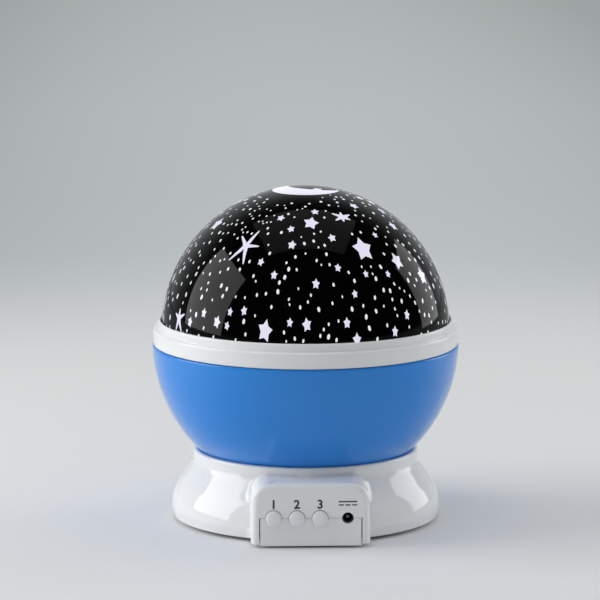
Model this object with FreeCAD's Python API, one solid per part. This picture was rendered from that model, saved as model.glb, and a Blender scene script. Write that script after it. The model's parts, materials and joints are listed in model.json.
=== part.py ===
import FreeCAD, Part

import math
import os

# Star night light projector: a ball of a blue bowl and a black star dome that turns on a flared white base.
# Millimetres. The origin is on the table under the centre of the base, +Z is up, and the buttons face -Y.

V = FreeCAD.Vector
UP = V(0, 0, 1)
BACK = V(0, 1, 0)

# Clearances
SLIP = 0.3            # between mouldings that drop into each other
SEAM = 0.25           # visible line between the two halves of the control panel, and under the collar
SIDE_SEAM = 0.4       # the panel's two upright lines
RUN = 0.08            # radial play of a turning shaft
FLOAT = 0.1           # axial play of a turning part
SNUG = 0.05           # radial play of a screw or a foot in its hole
LIFT = 0.2            # gap under a part that only rests in its seat
PAST = 1.0            # how far a cutting tool runs past the face that it opens

# Screws
SCREW_R = 1.1
SCREW_HEAD_R = 2.1
SCREW_HEAD_T = 1.3
SCREW_BITE = 2.8      # length of thread in a thin piece
PILOT_SKIN = 0.4      # left at the end of a blind hole
BOSS_R = 3.2

# Battery bay, with small round cells side by side
PLATE_Z = 1.0         # underside of the base plate
PLATE_T = 2.8
CELL_R = 5.25
CELL_L = 44.5
CELL_NUB_R = 1.9
CELL_NUB_H = 1.0
CELL_GAP = 0.4
CELL_COUNT = 4
CONTACT_ROOM = 2.2    # behind each end of the cells
CONTACT_T = 0.4
CONTACT_HALF_W = 3.75
BAY_WALL = 1.5
BAY_HEADROOM = 0.4
DOOR_T = 2.0
DOOR_LAP = 2.0        # how far the door reaches past the bay
DOOR_RIB_H = 2.0      # ribs between the cells
DOOR_RIB_W = 1.0
DOOR_TONGUE_W = 12.0  # tongue with the screw
DOOR_TONGUE_L = 6.0
DOOR_BOSS_H = 5.0
DOOR_PILOT = 4.0
DOOR_SCREW_L = 4.0
DOOR_GRIP_R = 1.0     # finger grooves in the door
DOOR_GRIP_DEPTH = 0.5
DOOR_GRIPS = 4
DOOR_GRIP_PITCH = 3.0
DOOR_GRIP_L = 16.0
FOOT_PAD_R = 4.5
FOOT_PAD_SINK = 0.6
FOOT_PAD_AT = 32.5    # x and y of each pad

# Motor: a flat can with a gearbox on it, hung under the deck by two ears
MOTOR_R = 12.4
MOTOR_GAP = 0.45      # to the battery bay on one side and to the shell on the other
MOTOR_LIFT = 0.8      # above the base plate
MOTOR_CAN_H = 6.8
MOTOR_TOP_GAP = 0.5   # under the deck
MOTOR_EAR_Y = 16.0
MOTOR_EAR_W = 6.0
MOTOR_EAR_T = 1.0
MOTOR_BOSS_H = 3.0
MOTOR_BOSS_R = 2.6
SHAFT_R = 1.5
SHAFT_BOSS_R = 3.5
SHAFT_FLAT = 0.5
SHAFT_DEEP = 5.0      # length of the shaft inside the gearbox
PRESS = 0.02          # between a shaft and the gear pressed on it

# Base shell
RIM_Z = 1.8           # lower edge of the white shell
SHELL_WALL = 2.2
DECK_GAP = 2.8        # between the battery bay and the deck over it
DECK_T = 2.2
WELL_DEPTH = 9.8      # from the deck to the top of the neck
WELL_GAP = 0.3        # between the bowl and the inside of the neck
NECK_WALL = 1.7       # at its lip
NECK_H = 3.5          # upright part of the neck
NECK_BLEND_R = 6.0    # hollow curve under the neck
FLARE_BEND = 1.5      # lean of the flare's straight part, to the lean from foot to neck
POCKET_W = 3.0        # least width of the hollow behind the neck, level with the deck
FOOT_LEAN = 7.9       # how much wider the foot is than the room under the deck
FOOT_Z = 5.0          # height of the widest part
TUCK = 0.9            # how far the flare turns in again at its lower edge
LIP_ROUND = 0.8
SCREW_INSET = 2.0     # of the base screws, inside the room under the deck
SCREW_ANGLE = 21.8    # of the base screws, from the X axis
BASE_PILOT = 8.0      # depth of their holes above the plate
BASE_SCREW_L = 7.0

# Control box on the front of the base
BOX_REACH = 5.3       # from the foot of the flare to the face of the panel
BOX_DROP = 3.5        # from the top of the neck to the top of the box
BOX_HALF_W = 24.7     # at the rim
BOX_DRAFT = 0.5       # how much narrower each side is at the top
BOX_CORNER_R = 7.0
BOX_EDGE_R = 2.6
PANEL_HALF_W = 21.1   # lower half of the panel, part of the base plate
PANEL_SPLIT_Z = 12.6  # the split runs through the centres of the holes
BUTTON_PITCH = 9.6
BUTTON_MIDDLE_X = -5.75
BUTTON_COUNT = 3
JACK_X = 15.3
BUTTON_R = 3.2
BUTTON_PLAY = 0.25
BUTTON_PROUD = 1.9
BUTTON_CROWN = 1.0    # height of the domed end
BUTTON_FLANGE_R = 4.2
BUTTON_FLANGE_T = 1.0
BUTTON_TRAVEL = 1.5
JACK_HOLE_R = 2.4

# Control board
BOARD_T = 1.6
BOARD_HALF_W = 20.5
BOARD_FRONT_GAP = 5.0  # behind the panel's front face
BOARD_L = 24.5
BOARD_POST_X = 17.0
BOARD_POST_BACK = 4.0  # from the rear edge of the board to its screws
BOARD_POST_R = 2.5
SWITCH_W = 7.0
SWITCH_L = 8.5
SWITCH_H = 6.0
SWITCH_SETBACK = 8.0  # front of the switches behind the panel's front face
PLUNGER_W = 2.4
PLUNGER_DEEP = 3.0    # length of the plunger inside the switch
JACK_W = 6.6
JACK_L = 9.5
JACK_BORE_R = 1.85
JACK_BORE_L = 8.0
JACK_PIN_R = 0.65
JACK_PIN_SHORT = 1.0

# Gear train
MODULE = 0.8
PRESSURE_DEG = 20.0
GEAR_TEETH = 56
PINION_TEETH = 14
ADDENDUM = 0.8        # stub teeth, in modules
DEDENDUM = 1.05
BACKLASH = 0.2
GEAR_T = 3.6
HUB_R = 10.0
HUB_RISE = 3.0        # above the floor of the bowl
GEAR_SCREW_R = 15.5
GEAR_SCREW_COUNT = 3
PINION_GAP = 0.4      # under the bowl's floor

# Post
POST_FLANGE_R = 15.0
POST_FLANGE_T = 2.2
POST_SCREW_R = 11.8
POST_SCREW_COUNT = 3
POST_SCREW_SHORT = 0.6  # of the top of the flange
POST_R = 6.0          # journal in the gear's hub
POST_BORE_R = 3.6
WASHER_R = 9.0
WASHER_T = 0.6
CLIP_R = 9.2
CLIP_T = 0.8
CLIP_GROOVE = 0.9
CLIP_MOUTH = 7.0

# Globe: bowl, collar and dome
GLOBE_R = 65.0        # outside of the blue bowl
BOWL_FLAT_R = 42.0    # of the bowl's flat underside
BOWL_WALL = 2.0
BOWL_FLOOR = 2.0
BOWL_STEPS = 3        # straight steps of the bowl's inside, which nothing shows
BOWL_LIP_DROP = 1.6   # top edge of the bowl below its centre
BOWL_LIP_BEVEL = 0.5
COLLAR_INSET = 0.4    # of the collar's lower band, inside the globe's radius
COLLAR_BAND_H = 6.75
COLLAR_STEP = 1.9     # from the lower band in to the upper one
COLLAR_UPPER_H = 3.5
COLLAR_BEVEL = 0.8
COLLAR_RIM_WALL = 1.25  # around the dome
SPIGOT_DEPTH = 4.8    # part of the collar that plugs into the bowl
SPIGOT_WALL = 1.9
DOME_SINK = 4.7       # lower edge of the dome below the top of the collar
DOME_WALL = 1.6
LEDGE_W = 6.15        # of the ledge that carries the dome and the tray
LEDGE_T = 4.2
KEY_COUNT = 3         # ribs that stop the dome turning in the collar
KEY_W = 4.4
KEY_H = 2.2
KEY_FIRST = 30.0      # degrees

# Tray under the dome
TRAY_T = 1.6
TRAY_LIP_T = 1.5
TRAY_LIP_H = 2.6
TRAY_RIB_COUNT = 6
TRAY_RIB_T = 1.2
TRAY_RIB_H = 3.0

# Lamp head and its lamps
HEAD_R = 17.5
HEAD_SINK = 6.4       # underside of the lamp head below the top of the tray
HEAD_PLAY = 2.5       # between the head and the tray that turns around it
HEAD_H = 11.0
HEAD_WALL = 2.0
HEAD_FLOOR = 2.0
HEAD_BEVEL = 0.4
HEAD_SOCKET_WALL = 2.0
HEAD_SOCKET_L = 5.0
LED_BOARD_T = 1.2
LED_SEAT_W = 2.0
LED_BOARD_DROP = 3.0  # below the rim of the head
LED_R = 2.5
LED_FLANGE_R = 2.9
LED_FLANGE_T = 1.0
LED_L = 8.0
LED_TIP = 1.4         # height of the tapered tip
LED_TIP_R = 1.5
LED_AT_R = 6.4
LED_FIRST = 45.0      # degrees
LED_NAMES = ("red", "green", "blue", "warm")

# Heights, from the base plate up
PLATE_TOP_Z = PLATE_Z + PLATE_T
DOOR_TOP_Z = PLATE_Z + DOOR_T
HEAD_SEAT_Z = PLATE_Z + SCREW_HEAD_T
CELL_Z = DOOR_TOP_Z + CELL_R + FLOAT
BAY_TOP_Z = CELL_Z + CELL_R + BAY_HEADROOM
DECK_UNDER_Z = BAY_TOP_Z + BAY_WALL + DECK_GAP
DECK_Z = DECK_UNDER_Z + DECK_T
LIP_Z = DECK_Z + WELL_DEPTH
NECK_Z = LIP_Z - NECK_H
BOX_TOP_Z = LIP_Z - BOX_DROP
WASHER_Z = DECK_Z + POST_FLANGE_T
GEAR_Z = WASHER_Z + WASHER_T + FLOAT
BOWL_FLOOR_Z = GEAR_Z + GEAR_T
PINION_TOP_Z = BOWL_FLOOR_Z - PINION_GAP
BOWL_INSIDE_Z = BOWL_FLOOR_Z + BOWL_FLOOR
HUB_TOP_Z = BOWL_INSIDE_Z + HUB_RISE
CLIP_Z = HUB_TOP_Z + LIFT
GLOBE_Z = BOWL_FLOOR_Z + math.sqrt(GLOBE_R**2 - BOWL_FLAT_R**2)
BOWL_LIP_Z = GLOBE_Z - BOWL_LIP_DROP
COLLAR_Z = BOWL_LIP_Z + SEAM
COLLAR_STEP_Z = COLLAR_Z + COLLAR_BAND_H
COLLAR_TOP_Z = COLLAR_STEP_Z + COLLAR_UPPER_H
SPIGOT_Z = COLLAR_Z - SPIGOT_DEPTH
SEAT_Z = SPIGOT_Z - LIFT
DOME_Z = COLLAR_TOP_Z - DOME_SINK
LEDGE_Z = DOME_Z - LIFT
TRAY_TOP_Z = LEDGE_Z - LEDGE_T
TRAY_Z = TRAY_TOP_Z - TRAY_T
HEAD_Z = TRAY_TOP_Z - HEAD_SINK
POST_TOP_Z = HEAD_Z + HEAD_FLOOR
LED_BOARD_Z = HEAD_Z + HEAD_H - LED_BOARD_DROP
LED_Z = LED_BOARD_Z + LED_BOARD_T
BOARD_TOP_Z = PANEL_SPLIT_Z - SWITCH_H / 2
BOARD_Z = BOARD_TOP_Z - BOARD_T
MOTOR_Z = PLATE_TOP_Z + MOTOR_LIFT
MOTOR_SPLIT_Z = MOTOR_Z + MOTOR_CAN_H
MOTOR_TOP_Z = DECK_UNDER_Z - MOTOR_TOP_GAP
MOTOR_EAR_Z = DECK_UNDER_Z - MOTOR_BOSS_H - MOTOR_EAR_T

# Radii of the globe, from the outside in
COLLAR_R = GLOBE_R - COLLAR_INSET
COLLAR_TOP_R = COLLAR_R - COLLAR_STEP
DOME_SEAT_R = COLLAR_TOP_R - COLLAR_RIM_WALL
DOME_R = DOME_SEAT_R - SLIP
LEDGE_R = DOME_R - LEDGE_W
SEAT_R = math.sqrt((GLOBE_R - BOWL_WALL) ** 2 - (GLOBE_Z - SEAT_Z) ** 2)
SPIGOT_R = SEAT_R - SLIP
SPIGOT_IN_R = SPIGOT_R - SPIGOT_WALL
TRAY_R = SPIGOT_IN_R - SLIP
TRAY_SCREW_R = (SPIGOT_IN_R + LEDGE_R) / 2
TRAY_HOLE_R = HEAD_R + HEAD_PLAY
LED_BOARD_R = HEAD_R - HEAD_WALL - SLIP

# Plan of the base, from the middle out
CELL_PITCH = 2 * CELL_R + CELL_GAP
BAY_HALF_W = CELL_COUNT * CELL_PITCH / 2 + SLIP
BAY_OUT = BAY_HALF_W + BAY_WALL
MOTOR_X = -BAY_OUT - MOTOR_GAP - MOTOR_R
WELL_BALL_R = GLOBE_R + WELL_GAP
WELL_R = math.sqrt(WELL_BALL_R**2 - (GLOBE_Z - LIP_Z) ** 2)
WELL_LOW_R = math.sqrt(WELL_BALL_R**2 - (GLOBE_Z - BOWL_FLOOR_Z) ** 2)
WELL_OUT = WELL_LOW_R + DECK_T
DECK_ROOM_R = max(-MOTOR_X + MOTOR_R + MOTOR_GAP, WELL_OUT + POCKET_W)
FOOT_R = DECK_ROOM_R + FOOT_LEAN
CAVITY_R = FOOT_R - TUCK - SHELL_WALL
NECK_R = WELL_R + NECK_WALL
BOX_FRONT_Y = -FOOT_R - BOX_REACH
PANEL_IN_Y = BOX_FRONT_Y + SHELL_WALL
SCREW_RING_R = DECK_ROOM_R - SCREW_INSET
BAY_L = CELL_L + 2 * CONTACT_ROOM
BAY_END_Y = math.sqrt(DECK_ROOM_R**2 - BAY_OUT**2) - BAY_WALL - SLIP
BAY_Y = BAY_END_Y - BAY_L
DOOR_SCREW_Y = BAY_Y - DOOR_LAP - DOOR_TONGUE_L / 2
BOARD_Y = BOX_FRONT_Y + BOARD_FRONT_GAP
BOARD_POST_Y = BOARD_Y + BOARD_L - BOARD_POST_BACK
SWITCH_Y = BOX_FRONT_Y + SWITCH_SETBACK
JACK_Y = PANEL_IN_Y + LIFT
BUTTON_X = [BUTTON_MIDDLE_X + (i - (BUTTON_COUNT - 1) / 2) * BUTTON_PITCH for i in range(BUTTON_COUNT)]
GEAR_DISTANCE = MODULE * (GEAR_TEETH + PINION_TEETH) / 2


# Building blocks
def disc(r, z0, z1, x=0.0, y=0.0):
    return Part.makeCylinder(r, z1 - z0, V(x, y, z0), UP)


def ring(r_out, r_in, z0, z1):
    return disc(r_out, z0, z1).cut(disc(r_in, z0 - PAST, z1 + PAST))


def slab(x0, x1, y0, y1, z0, z1):
    return Part.makeBox(x1 - x0, y1 - y0, z1 - z0, V(x0, y0, z0))


def rod_y(r, y0, y1, x, z):
    return Part.makeCylinder(r, y1 - y0, V(x, y0, z), BACK)


def polar(r, degrees):
    a = math.radians(degrees)
    return r * math.cos(a), r * math.sin(a)


def around(count, r, first=90.0):
    return [polar(r, first + 360.0 * i / count) for i in range(count)]


def fuse(first, *others):
    return first.fuse(list(others)).removeSplitter()


def cut(shape, *tools):
    return shape.cut(list(tools))


def group(shapes):
    return Part.makeCompound(shapes)


def path(points):
    """Straight edges through points in the XZ plane."""
    return [Part.makeLine(V(a[0], 0, a[1]), V(b[0], 0, b[1])) for a, b in zip(points, points[1:])]


def arc(centre, r, start, end):
    """An arc in the XZ plane, from one point to another, the short way about its centre."""
    a = math.atan2(start[1] - centre[1], start[0] - centre[0])
    b = math.atan2(end[1] - centre[1], end[0] - centre[0])
    if abs(b - a) > math.pi:
        b += math.copysign(2 * math.pi, a - b)
    mid = (a + b) / 2
    middle = V(centre[0] + r * math.cos(mid), 0, centre[1] + r * math.sin(mid))
    return Part.Arc(V(start[0], 0, start[1]), middle, V(end[0], 0, end[1])).toShape()


def spin(edges):
    """Revolves a closed outline in the XZ plane about the Z axis."""
    return Part.Face(Part.Wire(edges)).revolve(V(0, 0, 0), UP, 360)


def ball_r(r, centre_z, z):
    """Radius of a ball at height z."""
    return math.sqrt(r**2 - (z - centre_z) ** 2)


def screw(x, y, z, length, up=True):
    """A pan-head screw. z is the face that its head bears on, and its tip points up or down."""
    if up:
        return fuse(disc(SCREW_R, z, z + length, x, y), disc(SCREW_HEAD_R, z - SCREW_HEAD_T, z, x, y))
    return fuse(disc(SCREW_R, z - length, z, x, y), disc(SCREW_HEAD_R, z, z + SCREW_HEAD_T, x, y))


def pilot(x, y, z0, z1):
    return disc(SCREW_R + SNUG, z0, z1, x, y)


# Teeth
def gear_blank(teeth, z0, z1, phase=0.0):
    """A spur gear with involute flanks, and a tooth on the centre line at phase degrees."""
    pitch = MODULE * teeth / 2
    base = pitch * math.cos(math.radians(PRESSURE_DEG))
    tip = pitch + ADDENDUM * MODULE
    root = pitch - DEDENDUM * MODULE
    start = max(base, root)
    middle = (start + tip) / 2
    involute = math.tan(math.radians(PRESSURE_DEG)) - math.radians(PRESSURE_DEG)
    half_at_pitch = (math.pi * MODULE / 2 - BACKLASH / 2) / (2 * pitch)

    def half(r):
        tilt = math.acos(min(1.0, base / r))
        return half_at_pitch + involute - (math.tan(tilt) - tilt)

    def at(r, angle):
        return V(r * math.cos(angle), r * math.sin(angle), z0)

    def flank(c, side, radii):
        return [at(r, c + side * half(r)) for r in radii]

    edges = []
    step = 2 * math.pi / teeth
    for i in range(teeth):
        c = math.radians(phase) + i * step
        if root < start:
            edges.append(Part.makeLine(at(root, c - half(start)), at(start, c - half(start))))
        edges.append(Part.Arc(*flank(c, -1, (start, middle, tip))).toShape())
        edges.append(Part.Arc(at(tip, c - half(tip)), at(tip, c), at(tip, c + half(tip))).toShape())
        edges.append(Part.Arc(*flank(c, 1, (tip, middle, start))).toShape())
        if root < start:
            edges.append(Part.makeLine(at(start, c + half(start)), at(root, c + half(start))))
        edges.append(Part.Arc(at(root, c + half(start)), at(root, c + step / 2),
                              at(root, c + step - half(start))).toShape())
    return Part.Face(Part.Wire(edges)).extrude(V(0, 0, z1 - z0))


# Base shell
def flare():
    """The belly of the flare, a straight part leaning in and the hollow under the neck, all tangent."""
    rise = NECK_Z - FOOT_Z
    reach = FOOT_R - NECK_R
    lean = FLARE_BEND * math.atan2(reach, rise)
    both = (rise * math.sin(lean) - reach * math.cos(lean)) / (1 - math.cos(lean))
    belly_r = both - NECK_BLEND_R
    belly = (FOOT_R - belly_r, FOOT_Z)
    hollow = (NECK_R + NECK_BLEND_R, NECK_Z)
    return belly, belly_r, hollow, lean


def out_from(centre, r, angle):
    return centre[0] + r * math.cos(angle), centre[1] + r * math.sin(angle)


def base_outside():
    belly, belly_r, hollow, lean = flare()
    foot = (FOOT_R, FOOT_Z)
    low = out_from(belly, belly_r, lean)
    high = out_from(hollow, -NECK_BLEND_R, lean)
    neck = (NECK_R, NECK_Z)
    brow = (NECK_R, LIP_Z - LIP_ROUND)
    crest = (NECK_R - LIP_ROUND, LIP_Z)
    outline = path([(0, LIP_Z), (0, RIM_Z), (FOOT_R - TUCK, RIM_Z), foot])
    outline.append(arc(belly, belly_r, foot, low))
    outline += path([low, high])
    outline.append(arc(hollow, NECK_BLEND_R, high, neck))
    outline += path([neck, brow])
    outline.append(arc((crest[0], brow[1]), LIP_ROUND, brow, crest))
    return spin(outline + path([crest, (0, LIP_Z)]))


def base_cavity():
    """The room under the deck. It leans in with the flare, up to a hollow behind the neck."""
    belly, belly_r, hollow, lean = flare()
    lean_z = belly[1] + math.sqrt((belly_r - SHELL_WALL) ** 2 - (CAVITY_R - belly[0]) ** 2)
    pocket = out_from(hollow, -NECK_BLEND_R - SHELL_WALL, lean)
    return spin(path([(0, DECK_UNDER_Z), (0, 0), (CAVITY_R, 0), (CAVITY_R, lean_z), (DECK_ROOM_R, DECK_UNDER_Z),
                      pocket, (WELL_OUT, pocket[1]), (WELL_OUT, DECK_UNDER_Z), (0, DECK_UNDER_Z)]))


def base_well():
    """The well in the neck. Its upper part follows the bowl, so that only a thin gap shows."""
    low = (WELL_LOW_R, BOWL_FLOOR_Z)
    high = (WELL_R, LIP_Z)
    outline = path([(0, DECK_Z), (WELL_LOW_R, DECK_Z), low])
    outline.append(arc((0, GLOBE_Z), WELL_BALL_R, low, high))
    return spin(outline + path([high, (WELL_R, LIP_Z + PAST), (0, LIP_Z + PAST), (0, DECK_Z)]))


def box_block(inset, y0, y1, z0, edge_round):
    """The control box, or the room inside it when inset by the wall."""
    top = BOX_TOP_Z - inset
    low = BOX_HALF_W - inset
    high = low - BOX_DRAFT
    corners = [V(-low, y0, z0), V(low, y0, z0), V(high, y0, top), V(-high, y0, top), V(-low, y0, z0)]
    block = Part.Face(Part.makePolygon(corners)).extrude(V(0, y1 - y0, 0))
    long_edges = [e for e in block.Edges if e.BoundBox.ZMin > top - PAST and e.BoundBox.YLength > PAST]
    block = block.makeFillet(BOX_CORNER_R - inset, long_edges)
    if edge_round:
        front = [e for e in block.Edges if e.BoundBox.YMax < y0 + edge_round and e.BoundBox.ZMax > z0 + PAST]
        block = block.makeFillet(edge_round, front)
    return block


def panel_holes():
    """The round holes of the buttons and the jack, half in the shell and half in the base plate."""
    y0 = BOX_FRONT_Y - PAST
    y1 = PANEL_IN_Y + PAST
    holes = [rod_y(BUTTON_R + BUTTON_PLAY, y0, y1, x, PANEL_SPLIT_Z) for x in BUTTON_X]
    return holes + [rod_y(JACK_HOLE_R, y0, y1, JACK_X, PANEL_SPLIT_Z)]


def base_screw_places():
    x, y = polar(SCREW_RING_R, SCREW_ANGLE)
    return [(sx * x, sy * y) for sx in (-1, 1) for sy in (-1, 1)]


def motor_screw_places():
    return [(MOTOR_X, side * MOTOR_EAR_Y) for side in (-1, 1)]


def post_screw_places():
    return around(POST_SCREW_COUNT, POST_SCREW_R)


def base_shell():
    inner_y = -NECK_R / 2
    half = PANEL_HALF_W + SIDE_SEAM / 2
    hood = box_block(0, BOX_FRONT_Y, inner_y, RIM_Z, BOX_EDGE_R)
    room = box_block(SHELL_WALL, PANEL_IN_Y, inner_y, RIM_Z - PAST, 0)
    core = disc(NECK_R, DECK_UNDER_Z, LIP_Z + PAST)
    mouth = slab(-half, half, BOX_FRONT_Y - PAST, PANEL_IN_Y + PAST, 0, PANEL_SPLIT_Z + SEAM / 2)
    shell = fuse(base_outside(), hood)
    shell = cut(shell, base_cavity(), cut(room, core), base_well(), mouth, *panel_holes())
    bosses = [disc(BOSS_R, PLATE_TOP_Z, DECK_UNDER_Z + PAST, x, y) for x, y in base_screw_places()]
    bosses += [disc(MOTOR_BOSS_R, DECK_UNDER_Z - MOTOR_BOSS_H, DECK_UNDER_Z + PAST, x, y)
               for x, y in motor_screw_places()]
    drills = [pilot(x, y, PLATE_TOP_Z - PAST, PLATE_TOP_Z + BASE_PILOT) for x, y in base_screw_places()]
    drills += [pilot(x, y, MOTOR_EAR_Z, DECK_UNDER_Z + PILOT_SKIN) for x, y in motor_screw_places()]
    drills += [pilot(x, y, DECK_UNDER_Z - PAST, DECK_Z + PAST) for x, y in post_screw_places()]
    drills.append(disc(POST_BORE_R, DECK_UNDER_Z - PAST, DECK_Z + PAST))
    drills.append(disc(SHAFT_BOSS_R + SLIP, DECK_UNDER_Z - PAST, DECK_Z + PAST, -GEAR_DISTANCE))
    return cut(fuse(shell, *bosses), *drills)


# Base plate, battery bay and door
def door_outline(play, z0, z1):
    """The door with its screw tongue, smaller all round by the play, or its opening with none."""
    half = BAY_HALF_W + DOOR_LAP - play
    tongue = DOOR_TONGUE_W / 2 - play
    front = BAY_Y - DOOR_LAP + play
    body = slab(-half, half, front, BAY_END_Y + DOOR_LAP - play, z0, z1)
    return fuse(body, slab(-tongue, tongue, front - DOOR_TONGUE_L, BAY_Y, z0, z1))


def square_places(at):
    return [(sx * at, sy * at) for sx in (-1, 1) for sy in (-1, 1)]


def board_screw_places():
    return [(side * BOARD_POST_X, BOARD_POST_Y) for side in (-1, 1)]


def base_plate():
    half = PANEL_HALF_W - SIDE_SEAM / 2
    room = BOX_HALF_W - SHELL_WALL - SLIP
    plate = disc(CAVITY_R - SLIP, PLATE_Z, PLATE_TOP_Z)
    tongue = slab(-room, room, PANEL_IN_Y + SLIP, -CAVITY_R / 2, PLATE_Z, PLATE_TOP_Z)
    sill = slab(-half, half, BOX_FRONT_Y, PANEL_IN_Y + PAST, PLATE_Z, PLATE_TOP_Z)
    wall = slab(-half, half, BOX_FRONT_Y, PANEL_IN_Y, PLATE_Z, PANEL_SPLIT_Z - SEAM / 2)
    bay = slab(-BAY_OUT, BAY_OUT, BAY_Y - BAY_WALL, BAY_END_Y + BAY_WALL, PLATE_Z, BAY_TOP_Z + BAY_WALL)
    posts = [disc(BOARD_POST_R, PLATE_Z, BOARD_Z, x, y) for x, y in board_screw_places()]
    door_boss = disc(BOSS_R, PLATE_Z, DOOR_TOP_Z + DOOR_BOSS_H, 0, DOOR_SCREW_Y)
    plate = fuse(plate, tongue, sill, wall, bay, door_boss, *posts)
    hollow = slab(-BAY_HALF_W, BAY_HALF_W, BAY_Y, BAY_END_Y, 0, BAY_TOP_Z)
    drills = [pilot(0, DOOR_SCREW_Y, DOOR_TOP_Z - PAST, DOOR_TOP_Z + DOOR_PILOT)]
    drills += [pilot(x, y, PLATE_TOP_Z, BOARD_Z + PAST) for x, y in board_screw_places()]
    for x, y in base_screw_places():
        drills.append(pilot(x, y, 0, PLATE_TOP_Z + PAST))
        drills.append(disc(SCREW_HEAD_R + SLIP, 0, HEAD_SEAT_Z, x, y))
    drills += [disc(FOOT_PAD_R + SNUG, 0, PLATE_Z + FOOT_PAD_SINK, x, y) for x, y in square_places(FOOT_PAD_AT)]
    return cut(plate, hollow, door_outline(0, 0, DOOR_TOP_Z), *drills, *panel_holes())


def battery_door():
    door = door_outline(SLIP, PLATE_Z, DOOR_TOP_Z - FLOAT)
    ribs = []
    for i in range(1, CELL_COUNT):
        x = (i - CELL_COUNT / 2) * CELL_PITCH
        ribs.append(slab(x - DOOR_RIB_W / 2, x + DOOR_RIB_W / 2, BAY_Y + CONTACT_ROOM, BAY_END_Y - CONTACT_ROOM,
                         PLATE_Z, DOOR_TOP_Z + DOOR_RIB_H))
    grips = []
    for i in range(DOOR_GRIPS):
        y = BAY_END_Y - DOOR_LAP - DOOR_GRIP_PITCH * (i + 1)
        start = V(-DOOR_GRIP_L / 2, y, PLATE_Z - DOOR_GRIP_R + DOOR_GRIP_DEPTH)
        grips.append(Part.makeCylinder(DOOR_GRIP_R, DOOR_GRIP_L, start, V(1, 0, 0)))
    screw_hole = pilot(0, DOOR_SCREW_Y, 0, DOOR_TOP_Z + PAST)
    head_room = disc(SCREW_HEAD_R + SLIP, 0, HEAD_SEAT_Z, 0, DOOR_SCREW_Y)
    return cut(fuse(door, *ribs), screw_hole, head_room, *grips)


def cell_places():
    """The middle of each cell, and which way its nub points: neighbours lie head to tail."""
    return [((i - (CELL_COUNT - 1) / 2) * CELL_PITCH, 1 if i % 2 else -1) for i in range(CELL_COUNT)]


def lengthwise(a, b):
    return min(a, b), max(a, b)


def battery_cells():
    cells = []
    middle = (BAY_Y + BAY_END_Y) / 2
    for x, way in cell_places():
        tail = middle - way * CELL_L / 2
        nub = middle + way * CELL_L / 2
        shoulder = nub - way * CELL_NUB_H
        cells.append(fuse(rod_y(CELL_R, *lengthwise(tail, shoulder), x, CELL_Z),
                          rod_y(CELL_NUB_R, *lengthwise(shoulder, nub), x, CELL_Z)))
    return group(cells)


def contact_plate(x, wall_y, way):
    return slab(x - CONTACT_HALF_W, x + CONTACT_HALF_W, *lengthwise(wall_y, wall_y + way * CONTACT_T),
                CELL_Z - CONTACT_HALF_W, CELL_Z + CONTACT_HALF_W)


def leaf(x, wall_y, way):
    """A sprung contact: a plate on the bay's wall, and a leaf that bows out from it to the cell."""
    out = wall_y + way * CONTACT_T
    crest = wall_y + way * (CONTACT_ROOM - FLOAT)
    low = CELL_Z - CONTACT_HALF_W / 2
    thin = CONTACT_HALF_W - CONTACT_T
    outer = Part.Arc(V(x - CONTACT_HALF_W, out, low), V(x, crest, low), V(x + CONTACT_HALF_W, out, low))
    inner = Part.Arc(V(x + thin, out, low), V(x, crest - way * CONTACT_T, low), V(x - thin, out, low))
    ends = [Part.makeLine(V(x + CONTACT_HALF_W, out, low), V(x + thin, out, low)),
            Part.makeLine(V(x - thin, out, low), V(x - CONTACT_HALF_W, out, low))]
    bow = Part.Face(Part.Wire([outer.toShape(), ends[0], inner.toShape(), ends[1]]))
    return fuse(contact_plate(x, wall_y, way), bow.extrude(V(0, 0, CONTACT_HALF_W)))


def spring_contacts():
    return group([leaf(x, BAY_Y if way > 0 else BAY_END_Y, way) for x, way in cell_places()])


def flat_contacts():
    made = []
    for x, way in cell_places():
        wall_y = BAY_END_Y if way > 0 else BAY_Y
        crest = wall_y - way * (CONTACT_ROOM - FLOAT)
        dimple = rod_y(CELL_NUB_R, *lengthwise(wall_y, crest), x, CELL_Z)
        made.append(fuse(contact_plate(x, wall_y, -way), dimple))
    return group(made)


def rubber_feet():
    return group([disc(FOOT_PAD_R, 0, PLATE_Z + FOOT_PAD_SINK, x, y) for x, y in square_places(FOOT_PAD_AT)])


# Buttons, switches, jack and board
def button(x):
    """A round cap with a crowned face, and a flange behind the panel that keeps it in."""
    tip = BOX_FRONT_Y - BUTTON_PROUD
    back = PANEL_IN_Y + FLOAT
    ball = (BUTTON_R**2 + BUTTON_CROWN**2) / (2 * BUTTON_CROWN)
    stem = rod_y(BUTTON_R, tip, back, x, PANEL_SPLIT_Z)
    crown = Part.makeSphere(ball, V(x, tip + ball, PANEL_SPLIT_Z))
    tail = rod_y(BUTTON_R, tip + BUTTON_CROWN, back, x, PANEL_SPLIT_Z)
    flange = rod_y(BUTTON_FLANGE_R, back, back + BUTTON_FLANGE_T, x, PANEL_SPLIT_Z)
    return fuse(stem.common(crown), tail, flange)


def plunger(x):
    half = PLUNGER_W / 2
    return slab(x - half, x + half, PANEL_IN_Y + FLOAT + BUTTON_FLANGE_T, SWITCH_Y + PLUNGER_DEEP,
                PANEL_SPLIT_Z - half, PANEL_SPLIT_Z + half)


def push_switches():
    made = []
    slot = PLUNGER_W / 2 + RUN
    deep = SWITCH_Y + PLUNGER_DEEP + BUTTON_TRAVEL + SLIP
    for x in BUTTON_X:
        body = slab(x - SWITCH_W / 2, x + SWITCH_W / 2, SWITCH_Y, SWITCH_Y + SWITCH_L,
                    BOARD_TOP_Z, BOARD_TOP_Z + SWITCH_H)
        hole = slab(x - slot, x + slot, SWITCH_Y - PAST, deep, PANEL_SPLIT_Z - slot, PANEL_SPLIT_Z + slot)
        made.append(cut(body, hole))
    return group(made)


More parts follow.
